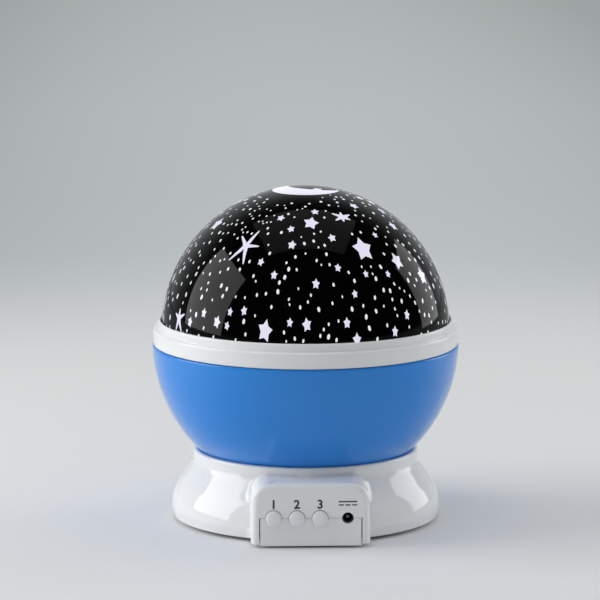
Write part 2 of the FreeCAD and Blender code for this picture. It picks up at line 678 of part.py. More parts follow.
def dc_jack():
    body = slab(JACK_X - JACK_W / 2, JACK_X + JACK_W / 2, JACK_Y, JACK_Y + JACK_L,
                BOARD_TOP_Z, BOARD_TOP_Z + SWITCH_H)
    return cut(body, rod_y(JACK_BORE_R, JACK_Y - PAST, JACK_Y + JACK_BORE_L, JACK_X, PANEL_SPLIT_Z))


def dc_pin():
    return rod_y(JACK_PIN_R, JACK_Y + JACK_PIN_SHORT, JACK_Y + JACK_BORE_L, JACK_X, PANEL_SPLIT_Z)


def control_board():
    board = slab(-BOARD_HALF_W, BOARD_HALF_W, BOARD_Y, BOARD_Y + BOARD_L, BOARD_Z, BOARD_TOP_Z)
    return cut(board, *[pilot(x, y, BOARD_Z - PAST, BOARD_TOP_Z + PAST) for x, y in board_screw_places()])


# Post and lamp head
def lamp_post():
    flange = disc(POST_FLANGE_R, DECK_Z, WASHER_Z)
    stem = disc(POST_R, DECK_Z, POST_TOP_Z)
    groove = ring(POST_R + PAST, POST_R - CLIP_GROOVE, CLIP_Z, CLIP_Z + CLIP_T + FLOAT)
    drills = [pilot(x, y, DECK_Z - PAST, WASHER_Z - PILOT_SKIN) for x, y in post_screw_places()]
    return cut(fuse(flange, stem), disc(POST_BORE_R, DECK_Z - PAST, POST_TOP_Z + PAST), groove, *drills)


def thrust_washer():
    return ring(WASHER_R, POST_R + RUN, WASHER_Z, WASHER_Z + WASHER_T)


def retaining_clip():
    clip = ring(CLIP_R, POST_R - CLIP_GROOVE + SNUG, CLIP_Z, CLIP_Z + CLIP_T)
    mouth = slab(0, CLIP_R + PAST, -CLIP_MOUTH / 2, CLIP_MOUTH / 2, CLIP_Z - PAST, CLIP_Z + CLIP_T + PAST)
    return cut(clip, mouth)


def lamp_head():
    """A cup on the post, with a ledge inside for the board of lamps."""
    top = HEAD_Z + HEAD_H
    bore = POST_R + SNUG
    socket = bore + HEAD_SOCKET_WALL
    seat = LED_BOARD_R + SLIP
    return spin(path([(bore, HEAD_Z - HEAD_SOCKET_L), (socket, HEAD_Z - HEAD_SOCKET_L), (socket, HEAD_Z),
                      (HEAD_R - HEAD_BEVEL, HEAD_Z), (HEAD_R, HEAD_Z + HEAD_BEVEL), (HEAD_R, top - HEAD_BEVEL),
                      (HEAD_R - HEAD_BEVEL, top), (seat, top), (seat, LED_BOARD_Z),
                      (seat - LED_SEAT_W, LED_BOARD_Z), (seat - LED_SEAT_W, POST_TOP_Z), (bore, POST_TOP_Z),
                      (bore, HEAD_Z - HEAD_SOCKET_L)]))


def led_board():
    return disc(LED_BOARD_R, LED_BOARD_Z, LED_Z)


def led(place):
    x, y = place
    shoulder = LED_Z + LED_L - LED_TIP
    body = disc(LED_R, LED_Z, shoulder, x, y)
    tip = Part.makeCone(LED_R, LED_TIP_R, LED_TIP, V(x, y, shoulder), UP)
    return fuse(body, tip, disc(LED_FLANGE_R, LED_Z, LED_Z + LED_FLANGE_T, x, y))


# Gear train and motor
def gear_screw_places():
    return around(GEAR_SCREW_COUNT, GEAR_SCREW_R)


def drive_gear():
    gear = fuse(gear_blank(GEAR_TEETH, GEAR_Z, BOWL_FLOOR_Z), disc(HUB_R, GEAR_Z, HUB_TOP_Z))
    drills = [pilot(x, y, GEAR_Z + PILOT_SKIN, BOWL_FLOOR_Z + PAST) for x, y in gear_screw_places()]
    return cut(gear, disc(POST_R + RUN, GEAR_Z - PAST, HUB_TOP_Z + PAST), *drills)


def flatted_shaft(r, z0, z1):
    """A round shaft with one flat, where the pinion turns."""
    x = -GEAR_DISTANCE
    return cut(disc(r, z0, z1, x), slab(x + r - SHAFT_FLAT, x + 2 * r, -r, r, z0, z1))


def motor_pinion():
    pinion = gear_blank(PINION_TEETH, WASHER_Z, PINION_TOP_Z, 180.0 / PINION_TEETH)
    pinion.translate(V(-GEAR_DISTANCE, 0, 0))
    return cut(pinion, flatted_shaft(SHAFT_R + PRESS, WASHER_Z - PAST, PINION_TOP_Z + PAST))


def motor_shaft():
    flat_z = WASHER_Z - PAST
    lower = disc(SHAFT_R, MOTOR_TOP_Z - SHAFT_DEEP, flat_z, -GEAR_DISTANCE)
    return fuse(lower, flatted_shaft(SHAFT_R, flat_z, PINION_TOP_Z - FLOAT))


def motor_can():
    return disc(MOTOR_R, MOTOR_Z, MOTOR_SPLIT_Z, MOTOR_X)


def motor_gearbox():
    case = disc(MOTOR_R, MOTOR_SPLIT_Z, MOTOR_TOP_Z, MOTOR_X)
    reach = MOTOR_EAR_Y + MOTOR_EAR_W / 2
    strap = slab(MOTOR_X - MOTOR_EAR_W / 2, MOTOR_X + MOTOR_EAR_W / 2, -reach, reach,
                 MOTOR_EAR_Z, MOTOR_EAR_Z + MOTOR_EAR_T)
    nose = disc(SHAFT_BOSS_R, MOTOR_TOP_Z - PAST, DECK_Z, -GEAR_DISTANCE)
    bore = disc(SHAFT_R + RUN, MOTOR_TOP_Z - SHAFT_DEEP - FLOAT, DECK_Z + PAST, -GEAR_DISTANCE)
    ears = [pilot(x, y, MOTOR_EAR_Z - PAST, MOTOR_EAR_Z + MOTOR_EAR_T + PAST) for x, y in motor_screw_places()]
    return cut(fuse(case, strap, nose), bore, *ears)


# Globe
def bowl_shell():
    """The blue bowl. Its outside is a ball cut flat below, and its inside is turned in straight steps."""
    bevel_z = BOWL_LIP_Z - BOWL_LIP_BEVEL
    low = (BOWL_FLAT_R, BOWL_FLOOR_Z)
    high = (ball_r(GLOBE_R, GLOBE_Z, bevel_z), bevel_z)
    inner_r = GLOBE_R - BOWL_WALL
    first = math.asin((SEAT_Z - GLOBE_Z) / inner_r)
    last = math.asin((BOWL_INSIDE_Z - GLOBE_Z) / inner_r)
    inside = []
    for i in range(BOWL_STEPS + 1):
        a = first + (last - first) * i / BOWL_STEPS
        inside.append((inner_r * math.cos(a), GLOBE_Z + inner_r * math.sin(a)))
    outline = path([(0, BOWL_FLOOR_Z), low]) + [arc((0, GLOBE_Z), GLOBE_R, low, high)]
    outline += path([high, (high[0] - BOWL_LIP_BEVEL, BOWL_LIP_Z), (SEAT_R, BOWL_LIP_Z), *inside,
                     (0, BOWL_INSIDE_Z), (0, BOWL_FLOOR_Z)])
    holes = [pilot(x, y, BOWL_FLOOR_Z - PAST, BOWL_INSIDE_Z + PAST) for x, y in gear_screw_places()]
    return cut(spin(outline), disc(HUB_R + SLIP, BOWL_FLOOR_Z - PAST, BOWL_INSIDE_Z + PAST), *holes)


def key_rib(i, width, r_in, r_out, z0, z1):
    """A block across the wall of the dome, at the place of one key."""
    rib = slab(r_in, r_out, -width / 2, width / 2, z0, z1)
    rib.rotate(V(0, 0, 0), UP, KEY_FIRST + i * 360.0 / KEY_COUNT)
    return rib


def tray_screw_places():
    return around(KEY_COUNT, TRAY_SCREW_R, KEY_FIRST + 180.0 / KEY_COUNT)


def collar_ring():
    """The white collar, with a spigot in the bowl, a ledge for the dome and the tray, and keys for the dome."""
    b = COLLAR_BEVEL
    outline = path([(SPIGOT_IN_R, SPIGOT_Z), (SPIGOT_R, SPIGOT_Z), (SPIGOT_R, COLLAR_Z), (COLLAR_R, COLLAR_Z),
                    (COLLAR_R, COLLAR_STEP_Z - b), (COLLAR_R - b, COLLAR_STEP_Z), (COLLAR_TOP_R, COLLAR_STEP_Z),
                    (COLLAR_TOP_R, COLLAR_TOP_Z - b), (COLLAR_TOP_R - b, COLLAR_TOP_Z),
                    (DOME_SEAT_R, COLLAR_TOP_Z), (DOME_SEAT_R, LEDGE_Z), (LEDGE_R, LEDGE_Z),
                    (LEDGE_R, TRAY_TOP_Z), (SPIGOT_IN_R, TRAY_TOP_Z), (SPIGOT_IN_R, SPIGOT_Z)])
    keys = [key_rib(i, KEY_W, DOME_R - DOME_WALL, DOME_SEAT_R + COLLAR_RIM_WALL / 2, LEDGE_Z - PAST,
                    LEDGE_Z + KEY_H) for i in range(KEY_COUNT)]
    drills = [pilot(x, y, TRAY_TOP_Z - PAST, LEDGE_Z - PILOT_SKIN) for x, y in tray_screw_places()]
    return cut(fuse(spin(outline), *keys), *drills)


def lamp_tray():
    tray = disc(TRAY_R, TRAY_Z, TRAY_TOP_Z)
    lip = disc(TRAY_HOLE_R + TRAY_LIP_T, TRAY_Z, TRAY_TOP_Z + TRAY_LIP_H)
    ribs = []
    for i in range(TRAY_RIB_COUNT):
        rib = slab(TRAY_HOLE_R + TRAY_LIP_T / 2, LEDGE_R - SLIP, -TRAY_RIB_T / 2, TRAY_RIB_T / 2,
                   TRAY_Z - TRAY_RIB_H, TRAY_Z)
        rib.rotate(V(0, 0, 0), UP, KEY_FIRST + i * 360.0 / TRAY_RIB_COUNT)
        ribs.append(rib)
    holes = [pilot(x, y, TRAY_Z - PAST, TRAY_TOP_Z + PAST) for x, y in tray_screw_places()]
    return cut(fuse(tray, lip, *ribs), disc(TRAY_HOLE_R, TRAY_Z - PAST, TRAY_TOP_Z + TRAY_LIP_H + PAST), *holes)


def star_dome():
    """The dark dome, open below, with a notch in its edge for each key."""
    inner_r = DOME_R - DOME_WALL
    outline = [arc((0, DOME_Z), DOME_R, (DOME_R, DOME_Z), (0, DOME_Z + DOME_R))]
    outline += path([(0, DOME_Z + DOME_R), (0, DOME_Z + inner_r)])
    outline.append(arc((0, DOME_Z), inner_r, (0, DOME_Z + inner_r), (inner_r, DOME_Z)))
    outline += path([(inner_r, DOME_Z), (DOME_R, DOME_Z)])
    notches = [key_rib(i, KEY_W + 2 * SLIP, inner_r - PAST, DOME_R + PAST, DOME_Z - PAST,
                       LEDGE_Z + KEY_H + SLIP) for i in range(KEY_COUNT)]
    return cut(spin(outline), *notches)


# Screws, as groups of like pieces
def base_screws():
    return group([screw(x, y, HEAD_SEAT_Z, BASE_SCREW_L) for x, y in base_screw_places()])


def door_screw():
    return screw(0, DOOR_SCREW_Y, HEAD_SEAT_Z, DOOR_SCREW_L)


def board_screws():
    return group([screw(x, y, BOARD_TOP_Z, BOARD_T + SCREW_BITE, up=False) for x, y in board_screw_places()])


def motor_screws():
    return group([screw(x, y, MOTOR_EAR_Z, MOTOR_EAR_T + SCREW_BITE) for x, y in motor_screw_places()])


def post_screws():
    length = DECK_T + POST_FLANGE_T - POST_SCREW_SHORT
    return group([screw(x, y, DECK_UNDER_Z, length) for x, y in post_screw_places()])


def gear_screws():
    length = BOWL_FLOOR + SCREW_BITE
    return group([screw(x, y, BOWL_INSIDE_Z, length, up=False) for x, y in gear_screw_places()])


def tray_screws():
    return group([screw(x, y, TRAY_Z, TRAY_T + SCREW_BITE) for x, y in tray_screw_places()])


def all_parts():
    makers = (base_shell, base_plate, battery_door, door_screw, battery_cells, spring_contacts, flat_contacts,
              rubber_feet, base_screws, control_board, board_screws, push_switches, dc_jack, dc_pin, motor_can,
              motor_gearbox, motor_screws, motor_shaft, motor_pinion, lamp_post, post_screws, thrust_washer,
              retaining_clip, lamp_head, led_board, drive_gear, gear_screws, bowl_shell, collar_ring, lamp_tray,
              tray_screws, star_dome)
    parts = {maker.__name__: maker() for maker in makers}
    for i, x in enumerate(BUTTON_X, 1):
        parts[f"button_{i}"] = button(x)
        parts[f"plunger_{i}"] = plunger(x)
    for name, place in zip(LED_NAMES, around(len(LED_NAMES), LED_AT_R, LED_FIRST)):
        parts[f"led_{name}"] = led(place)
    return parts


os.makedirs("parts", exist_ok=True)
for node, shape in all_parts().items():
    shape.exportStep(f"parts/{node}.step")
    print(node, len(shape.Solids), round(shape.Volume, 1), shape.isValid())
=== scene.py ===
import json
import math
import random

import bmesh
import bpy
from bpy.props import FloatProperty, FloatVectorProperty, IntProperty, PointerProperty, StringProperty
from mathutils import Matrix, Vector


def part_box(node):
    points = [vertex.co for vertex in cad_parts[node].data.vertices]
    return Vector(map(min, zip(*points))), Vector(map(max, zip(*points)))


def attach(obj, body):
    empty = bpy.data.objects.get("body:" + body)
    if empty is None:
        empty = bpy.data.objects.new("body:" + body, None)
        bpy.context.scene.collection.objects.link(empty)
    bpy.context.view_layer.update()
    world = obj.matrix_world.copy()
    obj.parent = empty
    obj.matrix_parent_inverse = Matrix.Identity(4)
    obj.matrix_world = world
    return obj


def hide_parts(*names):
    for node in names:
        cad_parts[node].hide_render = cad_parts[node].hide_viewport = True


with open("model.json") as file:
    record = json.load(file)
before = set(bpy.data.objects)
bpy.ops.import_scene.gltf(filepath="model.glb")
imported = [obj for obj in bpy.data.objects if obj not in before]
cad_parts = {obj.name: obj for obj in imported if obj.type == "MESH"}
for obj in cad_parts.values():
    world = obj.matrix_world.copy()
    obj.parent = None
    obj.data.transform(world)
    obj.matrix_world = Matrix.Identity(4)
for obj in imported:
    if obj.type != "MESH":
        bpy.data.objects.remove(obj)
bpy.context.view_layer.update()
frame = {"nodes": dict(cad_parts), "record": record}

bl_info = {
    "name": "Star Night Light",
    "version": (1, 0, 0),
    "blender": (4, 5, 0),
    "location": "View3D > Sidebar > Night Light",
    "description": "Builds the looks of a star night light around its packed solids",
    "category": "Add Mesh",
}

MM = 0.001
ORIGIN = Vector((0, 0, 0))
MERGE = 1e-6        # points closer than this are one
ROUND_STEPS = 192   # sides of the large turned pieces

DOME_LOW, DOME_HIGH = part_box("star_dome")
BOWL_LOW, BOWL_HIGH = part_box("bowl_shell")
COLLAR_LOW, COLLAR_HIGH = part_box("collar_ring")
SHELL_LOW, SHELL_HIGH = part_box("base_shell")
PANEL_Y = SHELL_LOW.y  # front face of the control panel
KEY_ANGLES = (30.0, 150.0, 270.0)  # of the keys that stop the dome turning, from +X

GROUPS = {}   # shared effects, each built once
FINISH = {}   # the material of each slot of the record


# What a user would change
def length(name, about, default):
    return FloatProperty(name=name, description=about, default=default, unit="LENGTH", precision=5)


def colour(name, about, default):
    return FloatVectorProperty(name=name, description=about, default=default, subtype="COLOR", size=3,
                               min=0.0, max=1.0)


def share(name, about, default):
    return FloatProperty(name=name, description=about, default=default, min=0.0, max=1.0, subtype="FACTOR")


class DomeSettings(bpy.types.PropertyGroup):
    wall: length("Wall", "Thickness of the dome", 0.0016)
    window_height: length("Window height", "How far the clear windows stand above the dark print", 0.00004)
    dot_width: length("Dot width", "Width of the largest dots", 0.00126)
    seed: IntProperty(name="Seed", description="Start of the scatter of stars and dots", default=11)
    dots: IntProperty(name="Dots", description="Number of dots over the whole dome", default=600)
    stars: IntProperty(name="Small stars", description="Number of small stars in the scatter", default=70)
    print_colour: colour("Print", "Colour of the dark print", (0.0006, 0.0006, 0.0008))
    # Painted glow: the windows give off light of their own, though no lamp lights them
    star_tint: colour("Stars", "Light through the crescent and the stars", (0.84, 0.82, 1.0))
    dot_tint: colour("Dots", "Light through the dots", (0.90, 0.93, 0.95))
    glow: FloatProperty(name="Glow", description="Strength of the light in the windows", default=0.78,
                        min=0.0)


class GlobeSettings(bpy.types.PropertyGroup):
    radius: length("Globe radius", "Outside radius of the bowl", 0.065)
    flat_radius: length("Flat radius", "Radius of the bowl's flat underside", 0.042)
    wall: length("Bowl wall", "Thickness of the bowl", 0.002)
    lip_round: length("Lip rounding", "Rounding of the bowl's upper edge", 0.0006)
    hub_radius: length("Hub hole", "Radius of the hole around the gear's hub", 0.0103)
    collar_step: length("Collar step", "Height of the step in the collar", 0.08200)
    collar_round: length("Collar rounding", "Rounding of the collar's outer edges", 0.0009)
    key_width: length("Key width", "Width of the keys that hold the dome", 0.0044)
    key_top: length("Key top", "Height of the top of the keys", 0.0828)
    bowl_colour: colour("Bowl", "Colour of the bowl", (0.014, 0.240, 0.745))


class BaseSettings(bpy.types.PropertyGroup):
    shell_colour: colour("Shell", "Colour of the white mouldings", (0.84, 0.852, 0.856))
    lip_rise: length("Lip rise", "How far the lip's inner edge is drawn up to the bowl", 0.00033)
    seam_top: length("Seam", "Height of the upper edge of the panel's lower half", 0.012475)
    seam_close: length("Seam closing", "How much the seam is narrowed", 0.0001)
    button_radius: length("Button radius", "Radius of each button", 0.0033)
    button_sag: length("Button sag", "How far each button hangs low in its hole", 0.00012)
    button_crown: length("Button crown", "Height of the domed end of each button", 0.0007)
    mark_height: length("Mark height", "Height of the numbers over the buttons", 0.0037)
    mark_bold: length("Mark boldness", "Added all round the strokes of the numbers", 0.00015)
    mark_colour: colour("Marks", "Colour of the printed marks", (0.02, 0.022, 0.026))
    marks: StringProperty(name="Numbers", description="Numbers printed over the buttons", default="123")


class StageSettings(bpy.types.PropertyGroup):
    lens: FloatProperty(name="Lens", description="Focal length in millimetres", default=246.2, min=1.0)
    away: length("Camera distance", "From the axis of the globe, along the floor", 1.7153)
    height: length("Camera height", "Above the floor", 0.38276)
    turn: FloatProperty(name="Camera turn", description="Angle round the object", default=math.radians(-2.0),
                        subtype="ANGLE")
    pitch: FloatProperty(name="Camera pitch", description="Angle below the horizon",
                         default=math.radians(9.577), subtype="ANGLE")
    shift: FloatProperty(name="Shift", description="Sideways shift of the frame", default=-0.0093)
    floor_colour: colour("Floor", "Colour of the floor near the object", (0.81, 0.82, 0.822))
    ambient: share("Ambient", "Even light from all round", 0.395)
    backdrop: share("Backdrop", "Brightness of the backdrop in gloss", 0.6)


def settings():
    return bpy.context.scene.night_light


# Meshes
class Outline:
    """A line drawn in the XZ plane, then turned about the Z axis into a closed skin."""

    def __init__(self, x, z):
        self.mesh = bmesh.new()
        self.first = self.mesh.verts.new((x, 0, z))
        self.last = self.first
        self.corners = []

    def to(self, x, z, soft=0.0):
        vert = self.mesh.verts.new((x, 0, z))
        self.mesh.edges.new((self.last, vert))
        self.last = vert
        if soft:
            self.corners.append((vert, soft))
        return self

    def arc(self, centre_z, degrees, steps):
        """Carries the line on along a circle about a point on the axis."""
        made = bmesh.ops.spin(self.mesh, geom=[self.last], cent=(0, 0, centre_z), axis=(0, 1, 0),
                              angle=math.radians(degrees), steps=steps)
        self.last = made["geom_last"][0]
        return self

    def turned(self, steps, closed=True):
        bm = self.mesh
        if closed:
            bm.edges.new((self.last, self.first))
        for vert, size in self.corners:
            bmesh.ops.bevel(bm, geom=[vert], offset=size, offset_type="OFFSET", segments=4, profile=0.5,
                            affect="VERTICES", material=-1)
        bmesh.ops.spin(bm, geom=bm.verts[:] + bm.edges[:], cent=ORIGIN, axis=(0, 0, 1), angle=math.tau,
                       steps=steps, use_merge=True)
        bmesh.ops.remove_doubles(bm, verts=bm.verts[:], dist=MERGE)
        bmesh.ops.recalc_face_normals(bm, faces=bm.faces[:])
        return bm


def mesh_of(name, bm):
    mesh = bpy.data.meshes.new(name)
    bm.to_mesh(mesh)
    bm.free()
    return mesh


def in_scene(name, data):
    """Makes an object of a mesh, a curve, a lamp or a camera."""
    made = bpy.data.objects.new(name, data)
    bpy.context.scene.collection.objects.link(made)
    return made


def add_piece(name, bm, body, material, sharp=35.0):
    """Makes an object of a bmesh, and lets it ride on a CAD body."""
    mesh = mesh_of(name, bm)
    mesh.shade_smooth()
    mesh.set_sharp_from_angle(angle=math.radians(sharp))
    mesh.materials.append(material)
    piece = in_scene(name, mesh)
    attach(piece, body)
    return piece


def moved(bm, *steps):
    for matrix in steps:
        bmesh.ops.transform(bm, matrix=matrix, verts=bm.verts[:])
    return bm


def turned_to(angle):
    """The way out from the axis and the way across it, at an angle in degrees from +X."""
    a = math.radians(angle)
    return Vector((math.cos(a), math.sin(a), 0)), Vector((-math.sin(a), math.cos(a), 0))


def cut_notch(bm, angle, width, top):
    """Opens a notch in the lower edge of a thin turned wall, and closes its three sides."""
    out, across = turned_to(angle)

    def near(face, half):
        middle = face.calc_center_median()
        return middle.dot(out) > 0 and abs(middle.dot(across)) < half

    cuts = ((across * width / 2, across), (across * width / -2, across), (Vector((0, 0, top)), (0, 0, 1)))
    for place, way in cuts:
        faces = [f for f in bm.faces if near(f, width) and f.calc_center_median().z < top + width]
        geom = list({part for f in faces for part in (*f.verts, *f.edges)}) + faces
        bmesh.ops.bisect_plane(bm, geom=geom, dist=1e-7, plane_co=place, plane_no=way)
    doomed = [f for f in bm.faces if near(f, width / 2) and f.calc_center_median().z < top]
    bmesh.ops.delete(bm, geom=doomed, context="FACES")
    same_wall = 0.3 * MM
    rims = [e for e in bm.edges if e.is_boundary
            and abs(math.hypot(*e.verts[0].co.xy) - math.hypot(*e.verts[1].co.xy)) < same_wall]
    bmesh.ops.bridge_loops(bm, edges=rims)
    bmesh.ops.recalc_face_normals(bm, faces=bm.faces[:])


# Materials
def put(tree, value, socket):
    """Links an output to a node's input, or sets a plain value there. A plain colour gets an alpha of 1."""
    if isinstance(value, bpy.types.NodeSocket):
        tree.links.new(value, socket)
    elif socket.type == "RGBA" and len(value) == 3:
        socket.default_value = (*value, 1.0)
    else:
        socket.default_value = value


class Finish:
    """One material, and the shader that its nodes feed."""

    def __init__(self, name):
        self.material = bpy.data.materials.new(name)
        self.material.use_nodes = True
        self.tree = self.material.node_tree
        self.shader = self.tree.nodes["Principled BSDF"]

    def set(self, **values):
        """Sets plain values on the shader's own sockets."""
        for name, value in values.items():
            put(self.tree, value, self.shader.inputs[name.replace("_", " ")])
        return self

    def group(self, group, **values):
        """Places a shared effect, with this material's own values."""
        made = self.tree.nodes.new("ShaderNodeGroup")
        made.node_tree = group
        for name, value in values.items():
            put(self.tree, value, made.inputs[name.replace("_", " ")])
        return made

    def link(self, source, socket):
        self.tree.links.new(source, self.shader.inputs[socket])
        return self


def new_group(name, inputs, outputs):
    """A shader node group with named sockets: (name, kind, default) in, (name, kind) out."""
    tree = bpy.data.node_groups.new(name, "ShaderNodeTree")
    for title, kind, default in inputs:
        socket = tree.interface.new_socket(name=title, in_out="INPUT", socket_type="NodeSocket" + kind)
        socket.default_value = default
    for title, kind in outputs:
        tree.interface.new_socket(name=title, in_out="OUTPUT", socket_type="NodeSocket" + kind)
    return tree, tree.nodes.new("NodeGroupInput").outputs, tree.nodes.new("NodeGroupOutput").inputs


def node(tree, kind, *inputs, **values):
    """Adds a node. Each input is a socket to link or a plain value, in the order of the node's inputs."""
    made = tree.nodes.new("ShaderNode" + kind)
    for name, value in values.items():
        setattr(made, name, value)
    for i, value in enumerate(inputs):
        if value is not None:
            put(tree, value, made.inputs[i])
    return made


def maths(tree, operation, a, b=0.5, c=0.5):
    return node(tree, "Math", a, b, c, operation=operation).outputs[0]


def noise(tree, vector, scale, detail=2.0, rough=0.5):
    made = node(tree, "TexNoise")
    for value, title in ((vector, "Vector"), (scale, "Scale"), (detail, "Detail"), (rough, "Roughness")):
        put(tree, value, made.inputs[title])
    return made.outputs[0]


def cells(tree, vector, scale):
    """Distance from the middle of the nearest cell."""
    made = node(tree, "TexVoronoi", feature="F1")
    put(tree, vector, made.inputs["Vector"])
    put(tree, scale, made.inputs["Scale"])
    return made.outputs["Distance"]


def spread(tree, value, low, high, to_low=0.0, to_high=1.0):
    """A smooth step between two values."""
    made = node(tree, "MapRange", value, low, high, to_low, to_high, interpolation_type="SMOOTHSTEP")
    return made.outputs[0]


def bump(tree, strength, depth, height):
    return node(tree, "Bump", strength, depth, None, height).outputs[0]


def tinted(tree, factor, first, second, blend="MIX"):
    """Mixes two colours. The node's factor is its input 0, and its colours are 6 and 7."""
    made = node(tree, "Mix", data_type="RGBA", blend_type=blend)
    for value, i in ((factor, 0), (first, 6), (second, 7)):
        put(tree, value, made.inputs[i])
    return made.outputs[2]


def on_object(tree):
    """The piece's own coordinates, in metres."""
    return node(tree, "TexCoord").outputs["Object"]


def moulded_skin():
    """Moulded plastic: a faint ripple from the tool, cloudy gloss, and slightly uneven colour."""
    tree, inner, outer = new_group(
        "moulded_skin",
        [("Colour", "Color", (0.8, 0.8, 0.8, 1)), ("Unevenness", "Float", 0.03), ("Gloss", "Float", 0.1),
         ("Cloudiness", "Float", 0.05), ("Ripple", "Float", 0.02), ("Grain", "Float", 0.0)],
        [("Colour", "Color"), ("Roughness", "Float"), ("Normal", "Vector")])
    place = on_object(tree)
    cloud = noise(tree, place, 38.0, 3.0, 0.6)
    smear = noise(tree, place, 210.0, 4.0, 0.65)
    pit = noise(tree, place, 2600.0, 1.0)
    dark = tinted(tree, 1.0, inner["Colour"], (0.93, 0.94, 0.96), "MULTIPLY")
    shade = maths(tree, "MULTIPLY", maths(tree, "MULTIPLY", cloud, inner["Unevenness"]), 10.0)
    tree.links.new(tinted(tree, shade, inner["Colour"], dark), outer["Colour"])
    haze = maths(tree, "MULTIPLY", spread(tree, smear, 0.35, 0.75), inner["Cloudiness"])
    tree.links.new(maths(tree, "ADD", haze, inner["Gloss"]), outer["Roughness"])
    ripple = bump(tree, inner["Ripple"], 0.0006, cloud)
    grain = bump(tree, inner["Grain"], 0.00003, pit)
    tree.links.new(ripple, grain.node.inputs["Normal"])
    tree.links.new(grain, outer["Normal"])
    return tree


def fine_dust():
    """Sparse specks of dust in patches, as a mask."""
    tree, inner, outer = new_group("fine_dust", [("Amount", "Float", 0.3)], [("Mask", "Float")])
    place = on_object(tree)
    specks = spread(tree, cells(tree, place, 420.0), 0.05, 0.09, 1.0, 0.0)
    some = spread(tree, noise(tree, place, 60.0), 0.52, 0.62)
    sparse = maths(tree, "MULTIPLY", specks, some)
    tree.links.new(maths(tree, "MULTIPLY", sparse, inner["Amount"]), outer["Mask"])
    return tree


def turned_metal():
    """Fine rings or lines of machining in metal, as colour, roughness and normal."""
    tree, inner, outer = new_group(
        "turned_metal",
        [("Colour", "Color", (0.6, 0.6, 0.6, 1)), ("Line scale", "Float", 900.0), ("Depth", "Float", 0.2)],
        [("Colour", "Color"), ("Roughness", "Float"), ("Normal", "Vector")])
    place = on_object(tree)
    stretched = node(tree, "Mapping", place)
    stretched.inputs["Scale"].default_value = (0.15, 0.15, 1.0)
    lines = noise(tree, stretched.outputs[0], inner["Line scale"], 3.0, 0.7)
    blotch = noise(tree, place, 120.0, 2.0)
    worn = maths(tree, "MULTIPLY", blotch, 0.5)
    tree.links.new(tinted(tree, worn, inner["Colour"], (0.42, 0.41, 0.40)), outer["Colour"])
    tree.links.new(maths(tree, "MULTIPLY_ADD", lines, 0.22, 0.16), outer["Roughness"])
    tree.links.new(bump(tree, inner["Depth"], 0.00002, lines), outer["Normal"])
    return tree


def effect(make):
    """A shared effect, built once."""
    if make.__name__ not in GROUPS:
        GROUPS[make.__name__] = make()
    return GROUPS[make.__name__]


def plastic(name, base, gloss=0.12, cloudiness=0.06, ripple=0.03, grain=0.0, unevenness=0.03, dust=0.25,
            **values):
    """Moulded plastic with a little dust on it."""
    finish = Finish(name)
    tree = finish.tree
    skin = finish.group(effect(moulded_skin), Colour=base, Unevenness=unevenness, Gloss=gloss,
                        Cloudiness=cloudiness, Ripple=ripple, Grain=grain).outputs
    specks = finish.group(effect(fine_dust), Amount=dust).outputs["Mask"]
    finish.link(tinted(tree, specks, skin["Colour"], (0.62, 0.62, 0.60)), "Base Color")
    finish.link(maths(tree, "ADD", skin["Roughness"], maths(tree, "MULTIPLY", specks, 0.5)), "Roughness")
    finish.link(skin["Normal"], "Normal")
    return finish.set(**values).material


def metal(name, base, lines, depth):
    """Bare or plated metal with fine lines."""
    finish = Finish(name)
    made = finish.group(effect(turned_metal), Colour=base, Line_scale=lines, Depth=depth).outputs
    for output, socket in (("Colour", "Base Color"), ("Roughness", "Roughness"), ("Normal", "Normal")):
        finish.link(made[output], socket)
    return finish.set(Metallic=1.0).material


def board_finish():
    """Green solder mask with tracks and tinned pads."""
    finish = Finish("board_green")
    tree = finish.tree
    place = on_object(tree)
    tracks = node(tree, "TexBrick")
    for title, value in (("Vector", place), ("Color1", (0.012, 0.16, 0.06)), ("Color2", (0.012, 0.18, 0.07)),
                         ("Mortar", (0.03, 0.30, 0.12)), ("Scale", 160.0), ("Mortar Size", 0.05)):
        put(tree, value, tracks.inputs[title])
    mask = spread(tree, cells(tree, place, 330.0), 0.16, 0.2, 1.0, 0.0)
    finish.link(tinted(tree, mask, tracks.outputs[0], (0.7, 0.69, 0.66)), "Base Color")
    finish.link(maths(tree, "MULTIPLY_ADD", mask, -0.1, 0.4), "Roughness")
    finish.link(bump(tree, 0.3, 0.00005, mask), "Normal")
    return finish.material


def sleeve_finish():
    """The shrunk sleeve of the cells: dark, with a copper band at one end."""
    finish = Finish("cell_sleeve")
    tree = finish.tree
    place = on_object(tree)
    along = node(tree, "SeparateXYZ", place).outputs[1]
    band = spread(tree, along, 28.5 * MM, 29.2 * MM)
    film = noise(tree, place, 500.0, 3.0)
    finish.link(tinted(tree, band, (0.03, 0.035, 0.04), (0.55, 0.26, 0.10)), "Base Color")
    finish.link(maths(tree, "MULTIPLY_ADD", film, 0.2, 0.15), "Roughness")
    finish.link(bump(tree, 0.15, 0.00005, film), "Normal")
    return finish.material


def lens_finish(name, tint):
    """Clear tinted epoxy of one lamp, with a faint glow."""
    finish = Finish(name)
    tree = finish.tree
    swirl = noise(tree, on_object(tree), 700.0, 2.0)
    finish.link(tinted(tree, swirl, tint, (0.95, 0.96, 0.98)), "Base Color")
    finish.link(maths(tree, "MULTIPLY_ADD", swirl, 0.06, 0.04), "Roughness")
    finish.link(tinted(tree, swirl, tint, (1, 1, 1)), "Emission Color")
    return finish.set(Transmission_Weight=0.5, IOR=1.5, Emission_Strength=0.35).material


